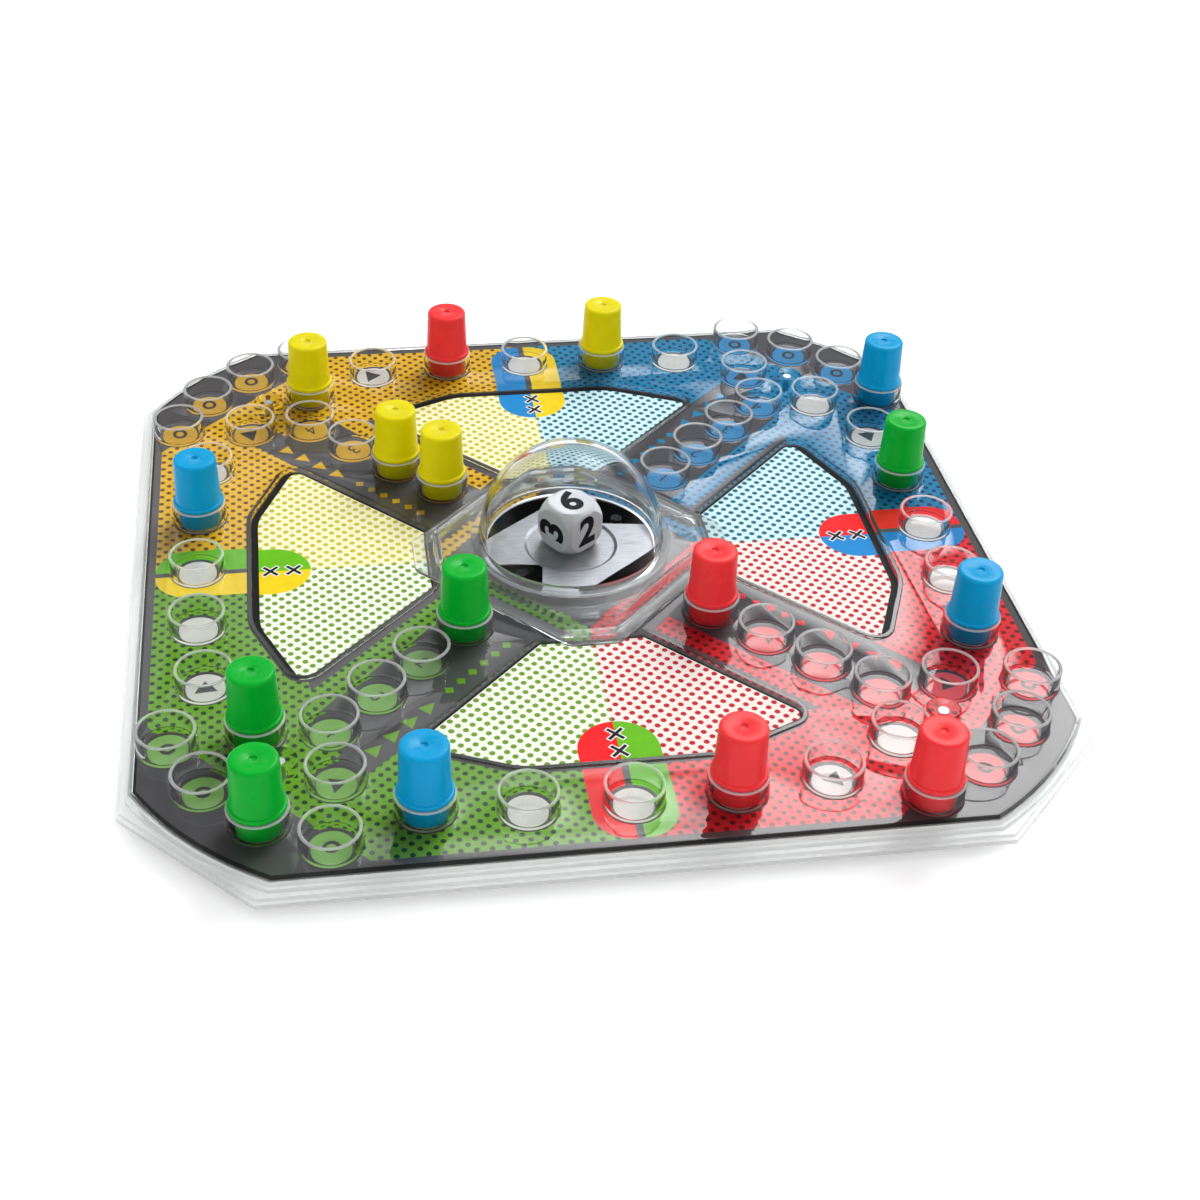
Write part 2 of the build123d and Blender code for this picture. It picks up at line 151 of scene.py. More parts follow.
# Housing and dome
COLLAR_TOP = 17.5
COLLAR_DEPTH = 1.8
COLLAR_RADIUS = 31.0
BORE_RADIUS = 28.5
HOUSING_FLANGE = (49.0, 40.0, 4.0)
HOUSING_BODY = (42.3, 35.9, 4.0)
DOME_RADIUS = 28.2
DOME_WALL = 1.6
DOME_CENTRE = 18.2
DOME_BOTTOM = 12.7
DOME_FLANGE = (31.0, 14.3, 15.5)

# Die
DIE_SIDE = 15.0
DIE_PLACE = (0.0, 2.0)
DIE_TURN = 36.0
DIE_BOTTOM = 12.02
DIE_ROUNDING = 1.6
DIE_BALL = 10.2
DIE_NUMBER = 13.4
DIE_INK = 0.04
DIE_FACES = {
    "6": ((0, 0, 1), 160.0),
    "1": ((0, 0, -1), 0.0),
    "2": ((0, -1, 0), 0.0),
    "5": ((0, 1, 0), 90.0),
    "3": ((-1, 0, 0), 90.0),
    "4": ((1, 0, 0), 90.0),
}

# Seats of the pegs: whose quarter, the row of cups, and the place in the row
PEG_SEATS = {
    "red": [("red", "track", 1), ("red", "home", 0), ("red", "finish", 0), ("yellow", "track", 1)],
    "blue": [("red", "track", 5), ("blue", "home", 0), ("yellow", "track", 6), ("green", "track", 5)],
    "yellow": [("blue", "track", 6), ("yellow", "track", 3)] + [("yellow", "finish", k) for k in (0, 1)],
    "green": [("blue", "track", 1), ("green", "track", 3), ("green", "home", 2), ("green", "finish", 0)],
}


def linear(red, green, blue, alpha=1.0):
    """A display colour, given from 0 to 255, as linear light."""
    values = [c / 255 for c in (red, green, blue)]
    return tuple(c / 12.92 if c <= 0.04045 else ((c + 0.055) / 1.055) ** 2.4 for c in values) + (alpha,)


PRINT_COLOURS = {
    "red": (linear(238, 30, 42), linear(116, 6, 12)),
    "blue": (linear(0, 140, 190), linear(0, 60, 96)),
    "yellow": (linear(244, 194, 16), linear(98, 66, 4)),
    "green": (linear(112, 174, 26), linear(24, 56, 22)),
}
LOZENGE_COLOURS = {
    "red": linear(252, 10, 20),
    "blue": linear(0, 140, 214),
    "yellow": linear(252, 218, 0),
    "green": linear(106, 196, 0),
}
DISC_COLOURS = {
    "red": linear(238, 96, 100),
    "blue": linear(64, 150, 205),
    "yellow": linear(222, 176, 64),
    "green": linear(132, 184, 92),
}
PANEL_COLOURS = {
    "red": (linear(252, 240, 234), linear(196, 12, 38)),
    "blue": (linear(214, 246, 250), linear(0, 104, 132)),
    "yellow": (linear(255, 252, 208), linear(206, 196, 50)),
    "green": (linear(249, 252, 236), linear(112, 160, 36)),
}
PEG_COLOURS = {
    "red": linear(252, 60, 64),
    "blue": linear(0, 164, 222),
    "yellow": linear(236, 222, 0),
    "green": linear(0, 182, 50),
}
BASE_GREY = linear(84, 82, 86)
RING_GREY = linear(58, 58, 60)
INK_BLACK = linear(8, 8, 10)
PAPER_WHITE = linear(246, 246, 246)
DISC_WHITE = linear(224, 222, 218)
# Dark grey of the printed marks on the discs, and of the rings of painted shade at the cups' feet
MARK_AND_SHADE_GREY = linear(72, 70, 72)


class DiceGameSettings(bpy.types.PropertyGroup):
    """Sizes and finishes that the pieces are made with."""

    ring_segments: bpy.props.IntProperty(
        name="Ring segments", description="Sides of each cup, peg and dome", default=72, min=24, max=160)
    rim_rounding: bpy.props.FloatProperty(
        name="Rim rounding", description="Radius on the edges of a cup's rim", default=0.00045, min=0.0001,
        max=0.0005, unit="LENGTH", subtype="DISTANCE", precision=5)
    edge_rounding: bpy.props.FloatProperty(
        name="Edge rounding", description="Radius on the outer top edge of the cover", default=0.0012,
        min=0.0001, max=0.0015, unit="LENGTH", subtype="DISTANCE", precision=5)
    layer_step: bpy.props.FloatProperty(
        name="Ink step", description="Height of one layer of the print over the one below", default=0.00001,
        min=0.000005, max=0.00005, unit="LENGTH", subtype="DISTANCE", precision=6)
    dot_pitch: bpy.props.FloatProperty(
        name="Dot pitch", description="Distance between neighbouring dots of the halftone", default=0.00288,
        min=0.001, max=0.01, unit="LENGTH", subtype="DISTANCE", precision=5)
    dot_width: bpy.props.FloatProperty(
        name="Dot width", description="Diameter of a halftone dot", default=0.00155, min=0.0005, max=0.005,
        unit="LENGTH", subtype="DISTANCE", precision=5)
    pale_dot_width: bpy.props.FloatProperty(
        name="Pale dot width", description="Diameter of a dot in the windows", default=0.00172, min=0.0005,
        max=0.005, unit="LENGTH", subtype="DISTANCE", precision=5)
    clear_roughness: bpy.props.FloatProperty(
        name="Clear roughness", description="Roughness of the polished clear plastic", default=0.03, min=0.0,
        max=0.5, subtype="FACTOR")
    key_light: bpy.props.FloatProperty(
        name="Key light", description="Brightness of the bright side of the large soft light", default=7.5,
        min=0.0, max=20.0)
    back_light: bpy.props.FloatProperty(
        name="Back light", description="Brightness of the dim side of the large soft light", default=1.2,
        min=0.0, max=20.0)
    fill_light: bpy.props.FloatProperty(
        name="Fill light", description="Brightness of the surroundings on matt surfaces", default=0.78,
        min=0.0, max=2.0)
    mirrored_light: bpy.props.FloatProperty(
        name="Mirrored light", description="Brightness of the surroundings in reflections", default=0.22,
        min=0.0, max=2.0)
    rim_clearness: bpy.props.FloatProperty(
        name="Rim clearness", description="Clearness of the cups' rims", default=0.62, min=0.0, max=1.0,
        subtype="FACTOR")
    skirt_clearness: bpy.props.FloatProperty(
        name="Skirt clearness", description="Clearness of the cover's skirt", default=0.35, min=0.0, max=1.0,
        subtype="FACTOR")


def settings():
    """The scene's settings for this game."""
    return bpy.context.scene.dice_game


# Places in the plane


def turned(place, quarters):
    """A place turned anticlockwise about the centre by quarter turns."""
    x, y = place
    for _ in range(quarters % 4):
        x, y = -y, x
    return (x, y)


def turned_loop(places, quarter):
    """Places turned anticlockwise about the centre by quarter turns."""
    return [turned(place, quarter) for place in places]


def corner_place(out, along, quarter=0):
    """The place this far out on a corner's diagonal and this far to its anticlockwise side."""
    return turned(((out + along) / ROOT2, (along - out) / ROOT2), quarter)


def track_places(quarter):
    """The seven cups of the track from the middle of a side round its corner."""
    mirrored = [(-y, -x) for x, y in reversed(TRACK_STOPS)]
    return turned_loop([(0, -TRACK_SIDE)] + TRACK_STOPS + mirrored, quarter)


def home_places(quarter):
    """The four cups on the arc in a corner."""
    angles = [HOME_PITCH * (k - 1.5) for k in range(4)]
    middle = HOME_MIDDLE - HOME_RADIUS
    return [corner_place(middle + HOME_RADIUS * cos(a), HOME_RADIUS * sin(a), quarter) for a in angles]


def finish_places(quarter):
    """The four cups on a diagonal, from the centre outwards."""
    return [corner_place(FINISH_START + FINISH_PITCH * k, 0, quarter) for k in range(4)]


ROWS = {"track": track_places, "home": home_places, "finish": finish_places}


def arc_points(centre, radius, start, end, steps):
    """Points along an arc, angles in radians."""
    return [
        (centre[0] + radius * cos(start + (end - start) * k / steps),
         centre[1] + radius * sin(start + (end - start) * k / steps))
        for k in range(steps + 1)
    ]


def rounded(points, radii, steps=8):
    """A closed polygon whose corners are rounded with the given radii."""
    out = []
    count = len(points)
    for k, radius in enumerate(radii):
        corner = Vector(points[k])
        to_before = (Vector(points[k - 1]) - corner).normalized()
        to_after = (Vector(points[(k + 1) % count]) - corner).normalized()
        half = acos(max(-1.0, min(1.0, to_before.dot(to_after)))) / 2
        if radius <= 0 or half > pi / 2 - 0.001:
            out.append(tuple(corner))
            continue
        reach = radius / tan(half)
        centre = corner + (to_before + to_after).normalized() * radius / sin(half)
        start = corner + to_before * reach - centre
        end = corner + to_after * reach - centre
        first = atan2(start.y, start.x)
        sweep = (atan2(end.y, end.x) - first + pi) % (2 * pi) - pi
        out.extend(arc_points(centre, radius, first, first + sweep, steps))
    return out


def window_loop(grow, quarter=0, side=None, tip=None):
    """The outline of a window, grown outwards by grow, its long sides by side and its short one by tip."""
    side = grow if side is None else side
    tip = grow if tip is None else tip
    to_side = (WINDOW_DIAGONAL - side) * ROOT2
    shoulder = WINDOW_SLOPE * WINDOW_FLAT + WINDOW_OUTER + grow * sqrt(1 + WINDOW_SLOPE**2)
    corner_x = (shoulder - to_side) / (1 + WINDOW_SLOPE)
    right = [
        ((shoulder - WINDOW_OUTER - grow) / WINDOW_SLOPE, -WINDOW_OUTER - grow),
        (corner_x, -to_side - corner_x),
        (WINDOW_INNER - tip - to_side, tip - WINDOW_INNER),
    ]
    left = [(-x, y) for x, y in reversed(right)]
    radii = [radius + grow for radius in WINDOW_RADII]
    return turned_loop(rounded(right + left, radii + radii[::-1], 10), quarter)


def cut_at_axis(loop, side):
    """The part of a loop round the -Y axis with x of the given sign."""
    out = []
    for k, (x, y) in enumerate(loop):
        before_x, before_y = loop[k - 1]
        if (before_x * side > 0) != (x * side > 0):
            share = before_x / (before_x - x)
            out.append((0.0, before_y + (y - before_y) * share))
        if x * side > 0:
            out.append((x, y))
    return out


def card_loop(grow):
    """The outline of the card, grown outwards by grow: a square with cut corners that bow out."""
    half = CARD_HALF + grow
    leg = 2 * CARD_HALF - ROOT2 * (CARD_CORNER - CARD_BULGE) + (2 - ROOT2) * grow
    out = []
    for quarter in range(4):
        start = Vector(turned((half - leg, -half), quarter))
        end = Vector(turned((half, leg - half), quarter))
        middle = (start + end) / 2
        chord = (end - start).length / 2
        radius = (chord**2 + CARD_BULGE**2) / (2 * CARD_BULGE)
        centre = middle - middle.normalized() * (radius - CARD_BULGE)
        first = atan2(start.y - centre.y, start.x - centre.x)
        sweep = 2 * asin(chord / radius)
        out.extend(arc_points(centre, radius, first, first + sweep, 16))
    return out


def circle_loop(place, radius, steps=64):
    """A circle as a loop."""
    return arc_points(place, radius, 0, 2 * pi, steps)[:-1]


# Meshes


def new_object(name, data):
    """An object linked to the scene."""
    made = bpy.data.objects.new(name, data)
    bpy.context.scene.collection.objects.link(made)
    return made


def add_piece(name, mesh, body, replaced=()):
    """Link a mesh as a piece that rides on a body."""
    piece = new_object(name, mesh)
    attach(piece, body)
    if replaced:
        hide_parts(*replaced)
    return piece


def mesh_from_work(name, work):
    """The mesh of a bmesh, which is freed."""
    mesh = bpy.data.meshes.new(name)
    work.to_mesh(mesh)
    work.free()
    return mesh


def mesh_from_object(source):
    """The mesh of an object, its modifiers done and its curve filled."""
    bpy.context.view_layer.update()
    return bpy.data.meshes.new_from_object(source.evaluated_get(bpy.context.evaluated_depsgraph_get()))


def coated(mesh, *materials):
    """The mesh with these materials and no others."""
    mesh.materials.clear()
    for material in materials:
        mesh.materials.append(material)
    return mesh


def finish_mesh(mesh, sharp=30):
    """Turn faces outwards and shade smooth up to the given angle."""
    work = bmesh.new()
    work.from_mesh(mesh)
    bmesh.ops.recalc_face_normals(work, faces=work.faces)
    if work.calc_volume(signed=True) < 0:
        bmesh.ops.reverse_faces(work, faces=work.faces)
    work.to_mesh(mesh)
    work.free()
    mesh.shade_smooth()
    mesh.set_sharp_from_angle(angle=radians(sharp))
    mesh.update()
    return mesh


def prism_mesh(name, loops, bottom, top):
    """A flat closed plate whose outline is one or more loops, inner loops being holes."""
    curve = bpy.data.curves.new(name, "CURVE")
    curve.dimensions = "2D"
    curve.fill_mode = "BOTH"
    curve.extrude = (top - bottom) / 2 * MM
    for loop in loops:
        spline = curve.splines.new("POLY")
        spline.points.add(len(loop) - 1)
        for point, (x, y) in zip(spline.points, loop):
            point.co = (x * MM, y * MM, 0, 1)
        spline.use_cyclic_u = True
    return solid_from_curve(name, curve, Matrix.Translation((0, 0, (top + bottom) / 2 * MM)))


def solid_from_curve(name, curve, spot):
    """Turn a filled curve or text into a welded mesh that stands at a spot."""
    source = new_object(name, curve)
    mesh = mesh_from_object(source)
    bpy.data.objects.remove(source)
    bpy.data.curves.remove(curve)
    mesh.name = name
    mesh.transform(spot)
    work = bmesh.new()
    work.from_mesh(mesh)
    bmesh.ops.remove_doubles(work, verts=work.verts, dist=1e-7)
    work.to_mesh(mesh)
    work.free()
    return mesh


def joined_mesh(name, meshes):
    """One mesh out of several."""
    work = bmesh.new()
    for mesh in meshes:
        work.from_mesh(mesh)
    out = mesh_from_work(name, work)
    for mesh in meshes:
        bpy.data.meshes.remove(mesh)
    return out


def boolean_mesh(name, first, second, operation, solver):
    """The union or the common part of two meshes, neither of which is kept."""
    base = new_object(name, first)
    other = new_object(name + "_other", second)
    modifier = base.modifiers.new("solid", "BOOLEAN")
    modifier.operation = operation
    modifier.solver = solver
    modifier.object = other
    mesh = mesh_from_object(base)
    for item in (base, other):
        bpy.data.objects.remove(item)
    bpy.data.meshes.remove(first)
    bpy.data.meshes.remove(second)
    mesh.name = name
    return coated(mesh)


def loft_mesh(name, rings):
    """A closed skin through rings of equally many points, the last ring joining the first."""
    count = len(rings[0])
    verts = [tuple(c * MM for c in point) for ring in rings for point in ring]
    faces = []
    for r in range(len(rings)):
        following = (r + 1) % len(rings)
        for k in range(count):
            after = (k + 1) % count
            faces.append((r * count + k, r * count + after, following * count + after, following * count + k))
    mesh = bpy.data.meshes.new(name)
    mesh.from_pydata(verts, [], faces)
    return mesh


def corner_steps(centre, radius, start, end, steps=4):
    """Points of a rounding in a profile, angles in degrees."""
    return arc_points(centre, radius, radians(start), radians(end), steps)


def new_tree(name, kind, inputs, outputs):
    """A node group with named sockets."""
    tree = bpy.data.node_groups.new(name, kind)
    for label, socket, default in inputs:
        made = tree.interface.new_socket(label, in_out="INPUT", socket_type=socket)
        if default is not None:
            made.default_value = default
    for label, socket in outputs:
        tree.interface.new_socket(label, in_out="OUTPUT", socket_type=socket)
    start = tree.nodes.new("NodeGroupInput")
    end = tree.nodes.new("NodeGroupOutput")
    return tree, start, end


def fill(tree, node, sources):
    """Link or set a node's inputs, given by name or number."""
    for label, value in sources.items():
        if isinstance(value, bpy.types.NodeSocket):
            tree.links.new(value, node.inputs[label])
        else:
            node.inputs[label].default_value = value
    return node


def add_node(tree, kind, sources=None):
    """A new node with these inputs."""
    return fill(tree, tree.nodes.new(kind), sources or {})


def lathe_tree():
    """The Geometry Nodes rule for what is turned on a lathe and repeats: a profile swept round each point."""
    name = "turned_on_points"
    if name in bpy.data.node_groups:
        return bpy.data.node_groups[name]
    inputs = [
        ("Places", "NodeSocketGeometry", None),
        ("Profile", "NodeSocketObject", None),
        ("Profile shift", "NodeSocketFloat", MM),
        ("Segments", "NodeSocketInt", 72),
        ("Material", "NodeSocketMaterial", None),
    ]
    tree, start, end = new_tree(name, "GeometryNodeTree", inputs, [("Geometry", "NodeSocketGeometry")])
    given = start.outputs
    circle = add_node(tree, "GeometryNodeCurvePrimitiveCircle",
                      {"Resolution": given["Segments"], "Radius": given["Profile shift"]})
    upright = add_node(tree, "GeometryNodeSetCurveNormal", {"Curve": circle.outputs["Curve"]})
    upright.mode = "Z_UP"
    profile = add_node(tree, "GeometryNodeObjectInfo", {"Object": given["Profile"]})
    sweep = add_node(tree, "GeometryNodeCurveToMesh",
                     {"Curve": upright.outputs["Curve"], "Profile Curve": profile.outputs["Geometry"]})
    weld = add_node(tree, "GeometryNodeMergeByDistance",
                    {"Distance": 1e-6, "Geometry": sweep.outputs["Mesh"]})
    copies = add_node(tree, "GeometryNodeInstanceOnPoints",
                      {"Points": given["Places"], "Instance": weld.outputs["Geometry"]})
    real = add_node(tree, "GeometryNodeRealizeInstances", {"Geometry": copies.outputs["Instances"]})
    paint = add_node(tree, "GeometryNodeSetMaterial",
                     {"Geometry": real.outputs["Geometry"], "Material": given["Material"]})
    fill(tree, end, {"Geometry": paint.outputs["Geometry"]})
    return tree


def turned_pieces(name, profile, places, material, sharp=30):
    """The mesh of a lathe profile of (radius, height) set up on each place."""
    curve = bpy.data.curves.new(name + "_profile", "CURVE")
    curve.dimensions = "3D"
    spline = curve.splines.new("POLY")
    spline.points.add(len(profile) - 1)
    for point, (radius, height) in zip(spline.points, profile):
        point.co = (radius * MM - MM, -height * MM, 0, 1)
    spline.use_cyclic_u = True
    shape = new_object(name + "_profile", curve)
    points = bpy.data.meshes.new(name + "_places")
    points.from_pydata([(x * MM, y * MM, 0) for x, y in places], [], [])
    holder = new_object(name + "_places", points)
    modifier = holder.modifiers.new("turned", "NODES")
    modifier.node_group = lathe_tree()
    named = {item.name: item.identifier for item in modifier.node_group.interface.items_tree}
    modifier[named["Profile"]] = shape
    modifier[named["Profile shift"]] = MM
    modifier[named["Segments"]] = settings().ring_segments
    modifier[named["Material"]] = material
    mesh = mesh_from_object(holder)
    for item in (holder, shape):
        bpy.data.objects.remove(item)
    bpy.data.curves.remove(curve)
    bpy.data.meshes.remove(points)
    mesh.name = name
    if not mesh.polygons:
        raise RuntimeError(f"{name} came out empty")
    return finish_mesh(mesh, sharp)


def node_copy(node, sinks=()):
    """A welded copy of a CAD node's mesh, its flat faces whole, with the faces at some heights sunk."""
    work = bmesh.new()
    work.from_mesh(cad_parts[node].data)
    bmesh.ops.remove_doubles(work, verts=work.verts, dist=1e-6)
    bmesh.ops.dissolve_degenerate(work, edges=work.edges, dist=1e-7)
    bmesh.ops.dissolve_limit(work, angle_limit=radians(0.2), verts=work.verts, edges=work.edges)
    for height, sink in sinks:
        for vert in work.verts:
            if abs(vert.co.z - height * MM) < 1e-6:
                vert.co.z -= sink * MM
    return work


# Shader groups and materials


def shader_nodes(name):
    """A new material, its node tree, its Principled node and its output."""
    material = bpy.data.materials.new(name)
    material.use_nodes = True
    tree = material.node_tree
    shader = tree.nodes["Principled BSDF"]
    return material, tree, shader, tree.nodes["Material Output"]


def split(tree, place):
    """The X, Y and Z of a place."""
    node = add_node(tree, "ShaderNodeSeparateXYZ", {0: place})
    return [node.outputs[k] for k in "XYZ"]


def add_math(tree, operation, *sources):
    """A Math node, whose inputs are sockets or numbers."""
    node = add_node(tree, "ShaderNodeMath")
    node.operation = operation
    return fill(tree, node, dict(enumerate(sources))).outputs[0]


def add_mix(tree, factor, first, second):
    """A colour mix, whose inputs are sockets or values."""
    node = add_node(tree, "ShaderNodeMix")
    node.data_type = "RGBA"
    return fill(tree, node, {0: factor, 6: first, 7: second}).outputs[2]


def place_socket(tree):
    """The place on the object, in metres."""
    return add_node(tree, "ShaderNodeTexCoord").outputs["Object"]


def add_noise(tree, place, scale, detail=3.0):
    """A noise value at a scale per metre."""
    sources = {"Scale": scale, "Detail": detail, "Vector": place}
    return add_node(tree, "ShaderNodeTexNoise", sources).outputs["Fac"]


def add_range(tree, value, from_low, from_high, to_low, to_high):
    """A value carried from one range to another."""
    sources = {1: from_low, 2: from_high, 3: to_low, 4: to_high, 0: value}
    return add_node(tree, "ShaderNodeMapRange", sources).outputs[0]


def add_bump(tree, height, distance, strength=1.0):
    """A bump from a height, its distance in metres."""
    sources = {"Strength": strength, "Distance": distance, "Height": height}
    return add_node(tree, "ShaderNodeBump", sources).outputs["Normal"]


def shared(name, inputs, outputs, build):
    """A shader group, made once."""
    if name not in bpy.data.node_groups:
        tree, start, end = new_tree(name, "ShaderNodeTree", inputs, outputs)
        build(tree, start, end)
    return bpy.data.node_groups[name]


def add_group(tree, group, **values):
    """A use of a shader group with some of its inputs set."""
    node = add_node(tree, "ShaderNodeGroup")
    node.node_tree = group
    return fill(tree, node, values)


def halftone_group():
    """Dots in staggered rows over the XY plane."""

    def build(tree, start, end):
        x, y, _ = split(tree, place_socket(tree))
        pitch = add_math(tree, "MULTIPLY", start.outputs["Pitch"], ROOT2)
        cells = []
        for operation in ("ADD", "SUBTRACT"):
            along = add_math(tree, operation, x, y)
            share = add_math(tree, "FRACT", add_math(tree, "DIVIDE", along, pitch))
            offset = add_math(tree, "SUBTRACT", share, 0.5)
            cells.append(add_math(tree, "POWER", offset, 2.0))
        away = add_math(tree, "SQRT", add_math(tree, "ADD", *cells))
        radius = add_math(tree, "DIVIDE", start.outputs["Width"], start.outputs["Pitch"])
        edge = add_math(tree, "SUBTRACT", add_math(tree, "MULTIPLY", radius, 0.5), away)
        fill(tree, end, {"Mask": add_range(tree, edge, -0.02, 0.02, 0.0, 1.0)})

    inputs = [("Pitch", "NodeSocketFloat", 0.00288), ("Width", "NodeSocketFloat", 0.00145)]
    return shared("halftone_dots", inputs, [("Mask", "NodeSocketFloat")], build)


def ink_group():
    """Slight unevenness of printed ink on coated card."""

    def build(tree, start, end):
        place = place_socket(tree)
        cloud = add_noise(tree, place, 220.0, 4.0)
        fibre = add_noise(tree, place, 5200.0, 2.0)
        shade = add_range(tree, cloud, 0.3, 0.7, 0.93, 1.04)
        fill(tree, end, {"Colour": add_shade(tree, start.outputs["Colour"], shade),
                         "Roughness": add_range(tree, cloud, 0.25, 0.75, 0.5, 0.62),
                         "Normal": add_bump(tree, fibre, 0.000012, 0.5)})

    inputs = [("Colour", "NodeSocketColor", (0.5, 0.5, 0.5, 1))]
    outputs = [("Colour", "NodeSocketColor"), ("Roughness", "NodeSocketFloat"),
               ("Normal", "NodeSocketVector")]
    return shared("ink_on_card", inputs, outputs, build)


def add_shade(tree, colour, value):
    """A colour, given as a value or a socket, scaled by a value that changes over the surface."""
    if isinstance(colour, tuple):
        base = add_node(tree, "ShaderNodeRGB")
        base.outputs[0].default_value = colour
        colour = base.outputs[0]
    node = add_node(tree, "ShaderNodeVectorMath")
    node.operation = "SCALE"
    return fill(tree, node, {0: colour, "Scale": value}).outputs[0]


def handling_group():
    """Marks of handling on polished plastic: faint haze, and a slow waviness from the mould."""

    def build(tree, start, end):
        place = place_socket(tree)
        smudge = add_noise(tree, place, 90.0, 5.0)
        wave = add_noise(tree, place, 60.0, 1.0)
        haze = add_range(tree, smudge, 0.45, 0.8, 0.0, 1.0)
        spread = add_math(tree, "MULTIPLY", haze, start.outputs["Haze"])
        rough = add_math(tree, "ADD", start.outputs["Roughness"], spread)
        swell = add_math(tree, "MULTIPLY", wave, start.outputs["Wave"])
        fill(tree, end, {"Roughness": rough, "Normal": add_bump(tree, swell, 0.00006)})

    inputs = [("Roughness", "NodeSocketFloat", 0.03), ("Haze", "NodeSocketFloat", 0.03),
              ("Wave", "NodeSocketFloat", 0.15)]
    outputs = [("Roughness", "NodeSocketFloat"), ("Normal", "NodeSocketVector")]
    return shared("handled_plastic", inputs, outputs, build)


def lighter_ridges_group():
    """Lighter places where a surface is most sharply curved outwards, broken up by noise."""

    def build(tree, start, end):
        place = place_socket(tree)
        bend = add_node(tree, "ShaderNodeNewGeometry").outputs["Pointiness"]
        ridge = add_range(tree, bend, 0.52, 0.62, 0.0, 1.0)
        breaks = add_range(tree, add_noise(tree, place, 900.0, 4.0), 0.4, 0.65, 0.0, 1.0)
        fill(tree, end, {"Mask": add_math(tree, "MULTIPLY", ridge, breaks)})

    return shared("rubbed_edges", [], [("Mask", "NodeSocketFloat")], build)


def clear_material(name, tint, roughness, clearness=1.0, bend=1.49, gloss=0.5):
    """Polished clear plastic that lets the lamps' light through to what lies under it.

    A clearness under 1 makes it milky. Thin walls have a small bend.
    """
    material, tree, shader, output = shader_nodes(name)
    marks = add_group(tree, handling_group(), Roughness=roughness, Haze=0.02, Wave=0.05)
    fill(tree, shader, {"Base Color": tint, "IOR": bend, "Specular IOR Level": gloss,
                        "Transmission Weight": clearness, "Roughness": marks.outputs["Roughness"],
                        "Normal": marks.outputs["Normal"]})
    shadow = add_node(tree, "ShaderNodeLightPath").outputs["Is Shadow Ray"]
    through = add_node(tree, "ShaderNodeBsdfTransparent", {"Color": (0.985, 0.99, 0.99, 1)})
    sources = {0: shadow, 1: shader.outputs[0], 2: through.outputs[0]}
    fill(tree, output, {"Surface": add_node(tree, "ShaderNodeMixShader", sources).outputs[0]})
    return material


def ink_material(name, colour, dots=None, pale=False):
    """Ink on coated card, plain or with halftone dots."""
    if name in bpy.data.materials:
        return bpy.data.materials[name]
    material, tree, shader, _ = shader_nodes(name)
    ink = add_group(tree, ink_group())
    if dots:
        width = settings().pale_dot_width if pale else settings().dot_width
        pattern = add_group(tree, halftone_group(), Pitch=settings().dot_pitch, Width=width)
        colour = add_mix(tree, pattern.outputs["Mask"], colour, dots)
    fill(tree, ink, {"Colour": colour})
    fill(tree, shader, {"Base Color": ink.outputs["Colour"], "Roughness": ink.outputs["Roughness"],
                        "Normal": ink.outputs["Normal"], "Specular IOR Level": 0.2})
    return material


def moulded_material(name, colour, ridge_colour, roughness=0.22, haze=0.12):
    """Coloured moulded plastic with a satin gloss, handled, and slightly lighter on its most curved edges."""
    material, tree, shader, _ = shader_nodes(name)
    place = place_socket(tree)
    cloud = add_range(tree, add_noise(tree, place, 140.0, 3.0), 0.3, 0.7, 0.95, 1.03)
    tone = add_shade(tree, colour, cloud)
    # Lighter colour on the most sharply curved edges, broken up by noise
    ridges = add_group(tree, lighter_ridges_group())
    share = add_math(tree, "MULTIPLY", ridges.outputs["Mask"], 0.35)
    fill(tree, shader, {"Base Color": add_mix(tree, share, tone, ridge_colour), "Specular IOR Level": 0.15,
                        "Subsurface Weight": 0.08, "Subsurface Radius": (0.001, 0.001, 0.001)})
    marks = add_group(tree, handling_group(), Roughness=roughness, Haze=haze, Wave=0.03)
    fill(tree, shader, {"Roughness": marks.outputs["Roughness"], "Normal": marks.outputs["Normal"]})
    return material


def steel_material(name, colour, roughness, turn, stretch):
    """Steel brushed along one direction in the plane."""
    material, tree, shader, _ = shader_nodes(name)
    mapping = add_node(tree, "ShaderNodeMapping",
                       {"Rotation": (0, 0, radians(turn)), "Scale": (1, stretch, 1)})
    fill(tree, mapping, {"Vector": place_socket(tree)})
    lines = add_noise(tree, mapping.outputs[0], 180.0, 6.0)
    stain = add_noise(tree, place_socket(tree), 120.0, 3.0)
    rough = add_range(tree, lines, 0.3, 0.7, roughness - 0.07, roughness + 0.1)
    shade = add_math(tree, "MULTIPLY", add_range(tree, stain, 0.3, 0.7, 0.9, 1.04),
                     add_range(tree, lines, 0.3, 0.7, 0.82, 1.12))
    fill(tree, shader, {"Base Color": add_shade(tree, colour, shade), "Metallic": 1.0, "Roughness": rough,
                        "Normal": add_bump(tree, lines, 0.00002, 0.4)})
    return material


def paint(node, material):
    """Give a CAD node a material."""
    mesh_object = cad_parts[node]
    if not mesh_object.material_slots:
        mesh_object.data.materials.append(material)
    for part in mesh_object.material_slots:
        part.material = material


def cups_profile():
    """The wall of a cup, from inside the cover's plate up to its rounded rim."""
    outer = CUP_RADIUS
    inner = CUP_RADIUS - CUP_WALL
    r = settings().rim_rounding / MM
    fillet = 0.55
    low = PLATE_TOP - 0.06
    foot = PLATE_TOP - 0.6
    rim = corner_steps((outer - r, RIM_TOP - r), r, 0, 90)
    rim += corner_steps((inner + r, RIM_TOP - r), r, 90, 180)
    outside = corner_steps((outer + fillet, low + fillet), fillet, 270, 180)
    inside = corner_steps((inner - fillet, low + fillet), fillet, 0, -90)
    return [(inner - fillet, foot), (outer + fillet, foot)] + outside + rim + inside


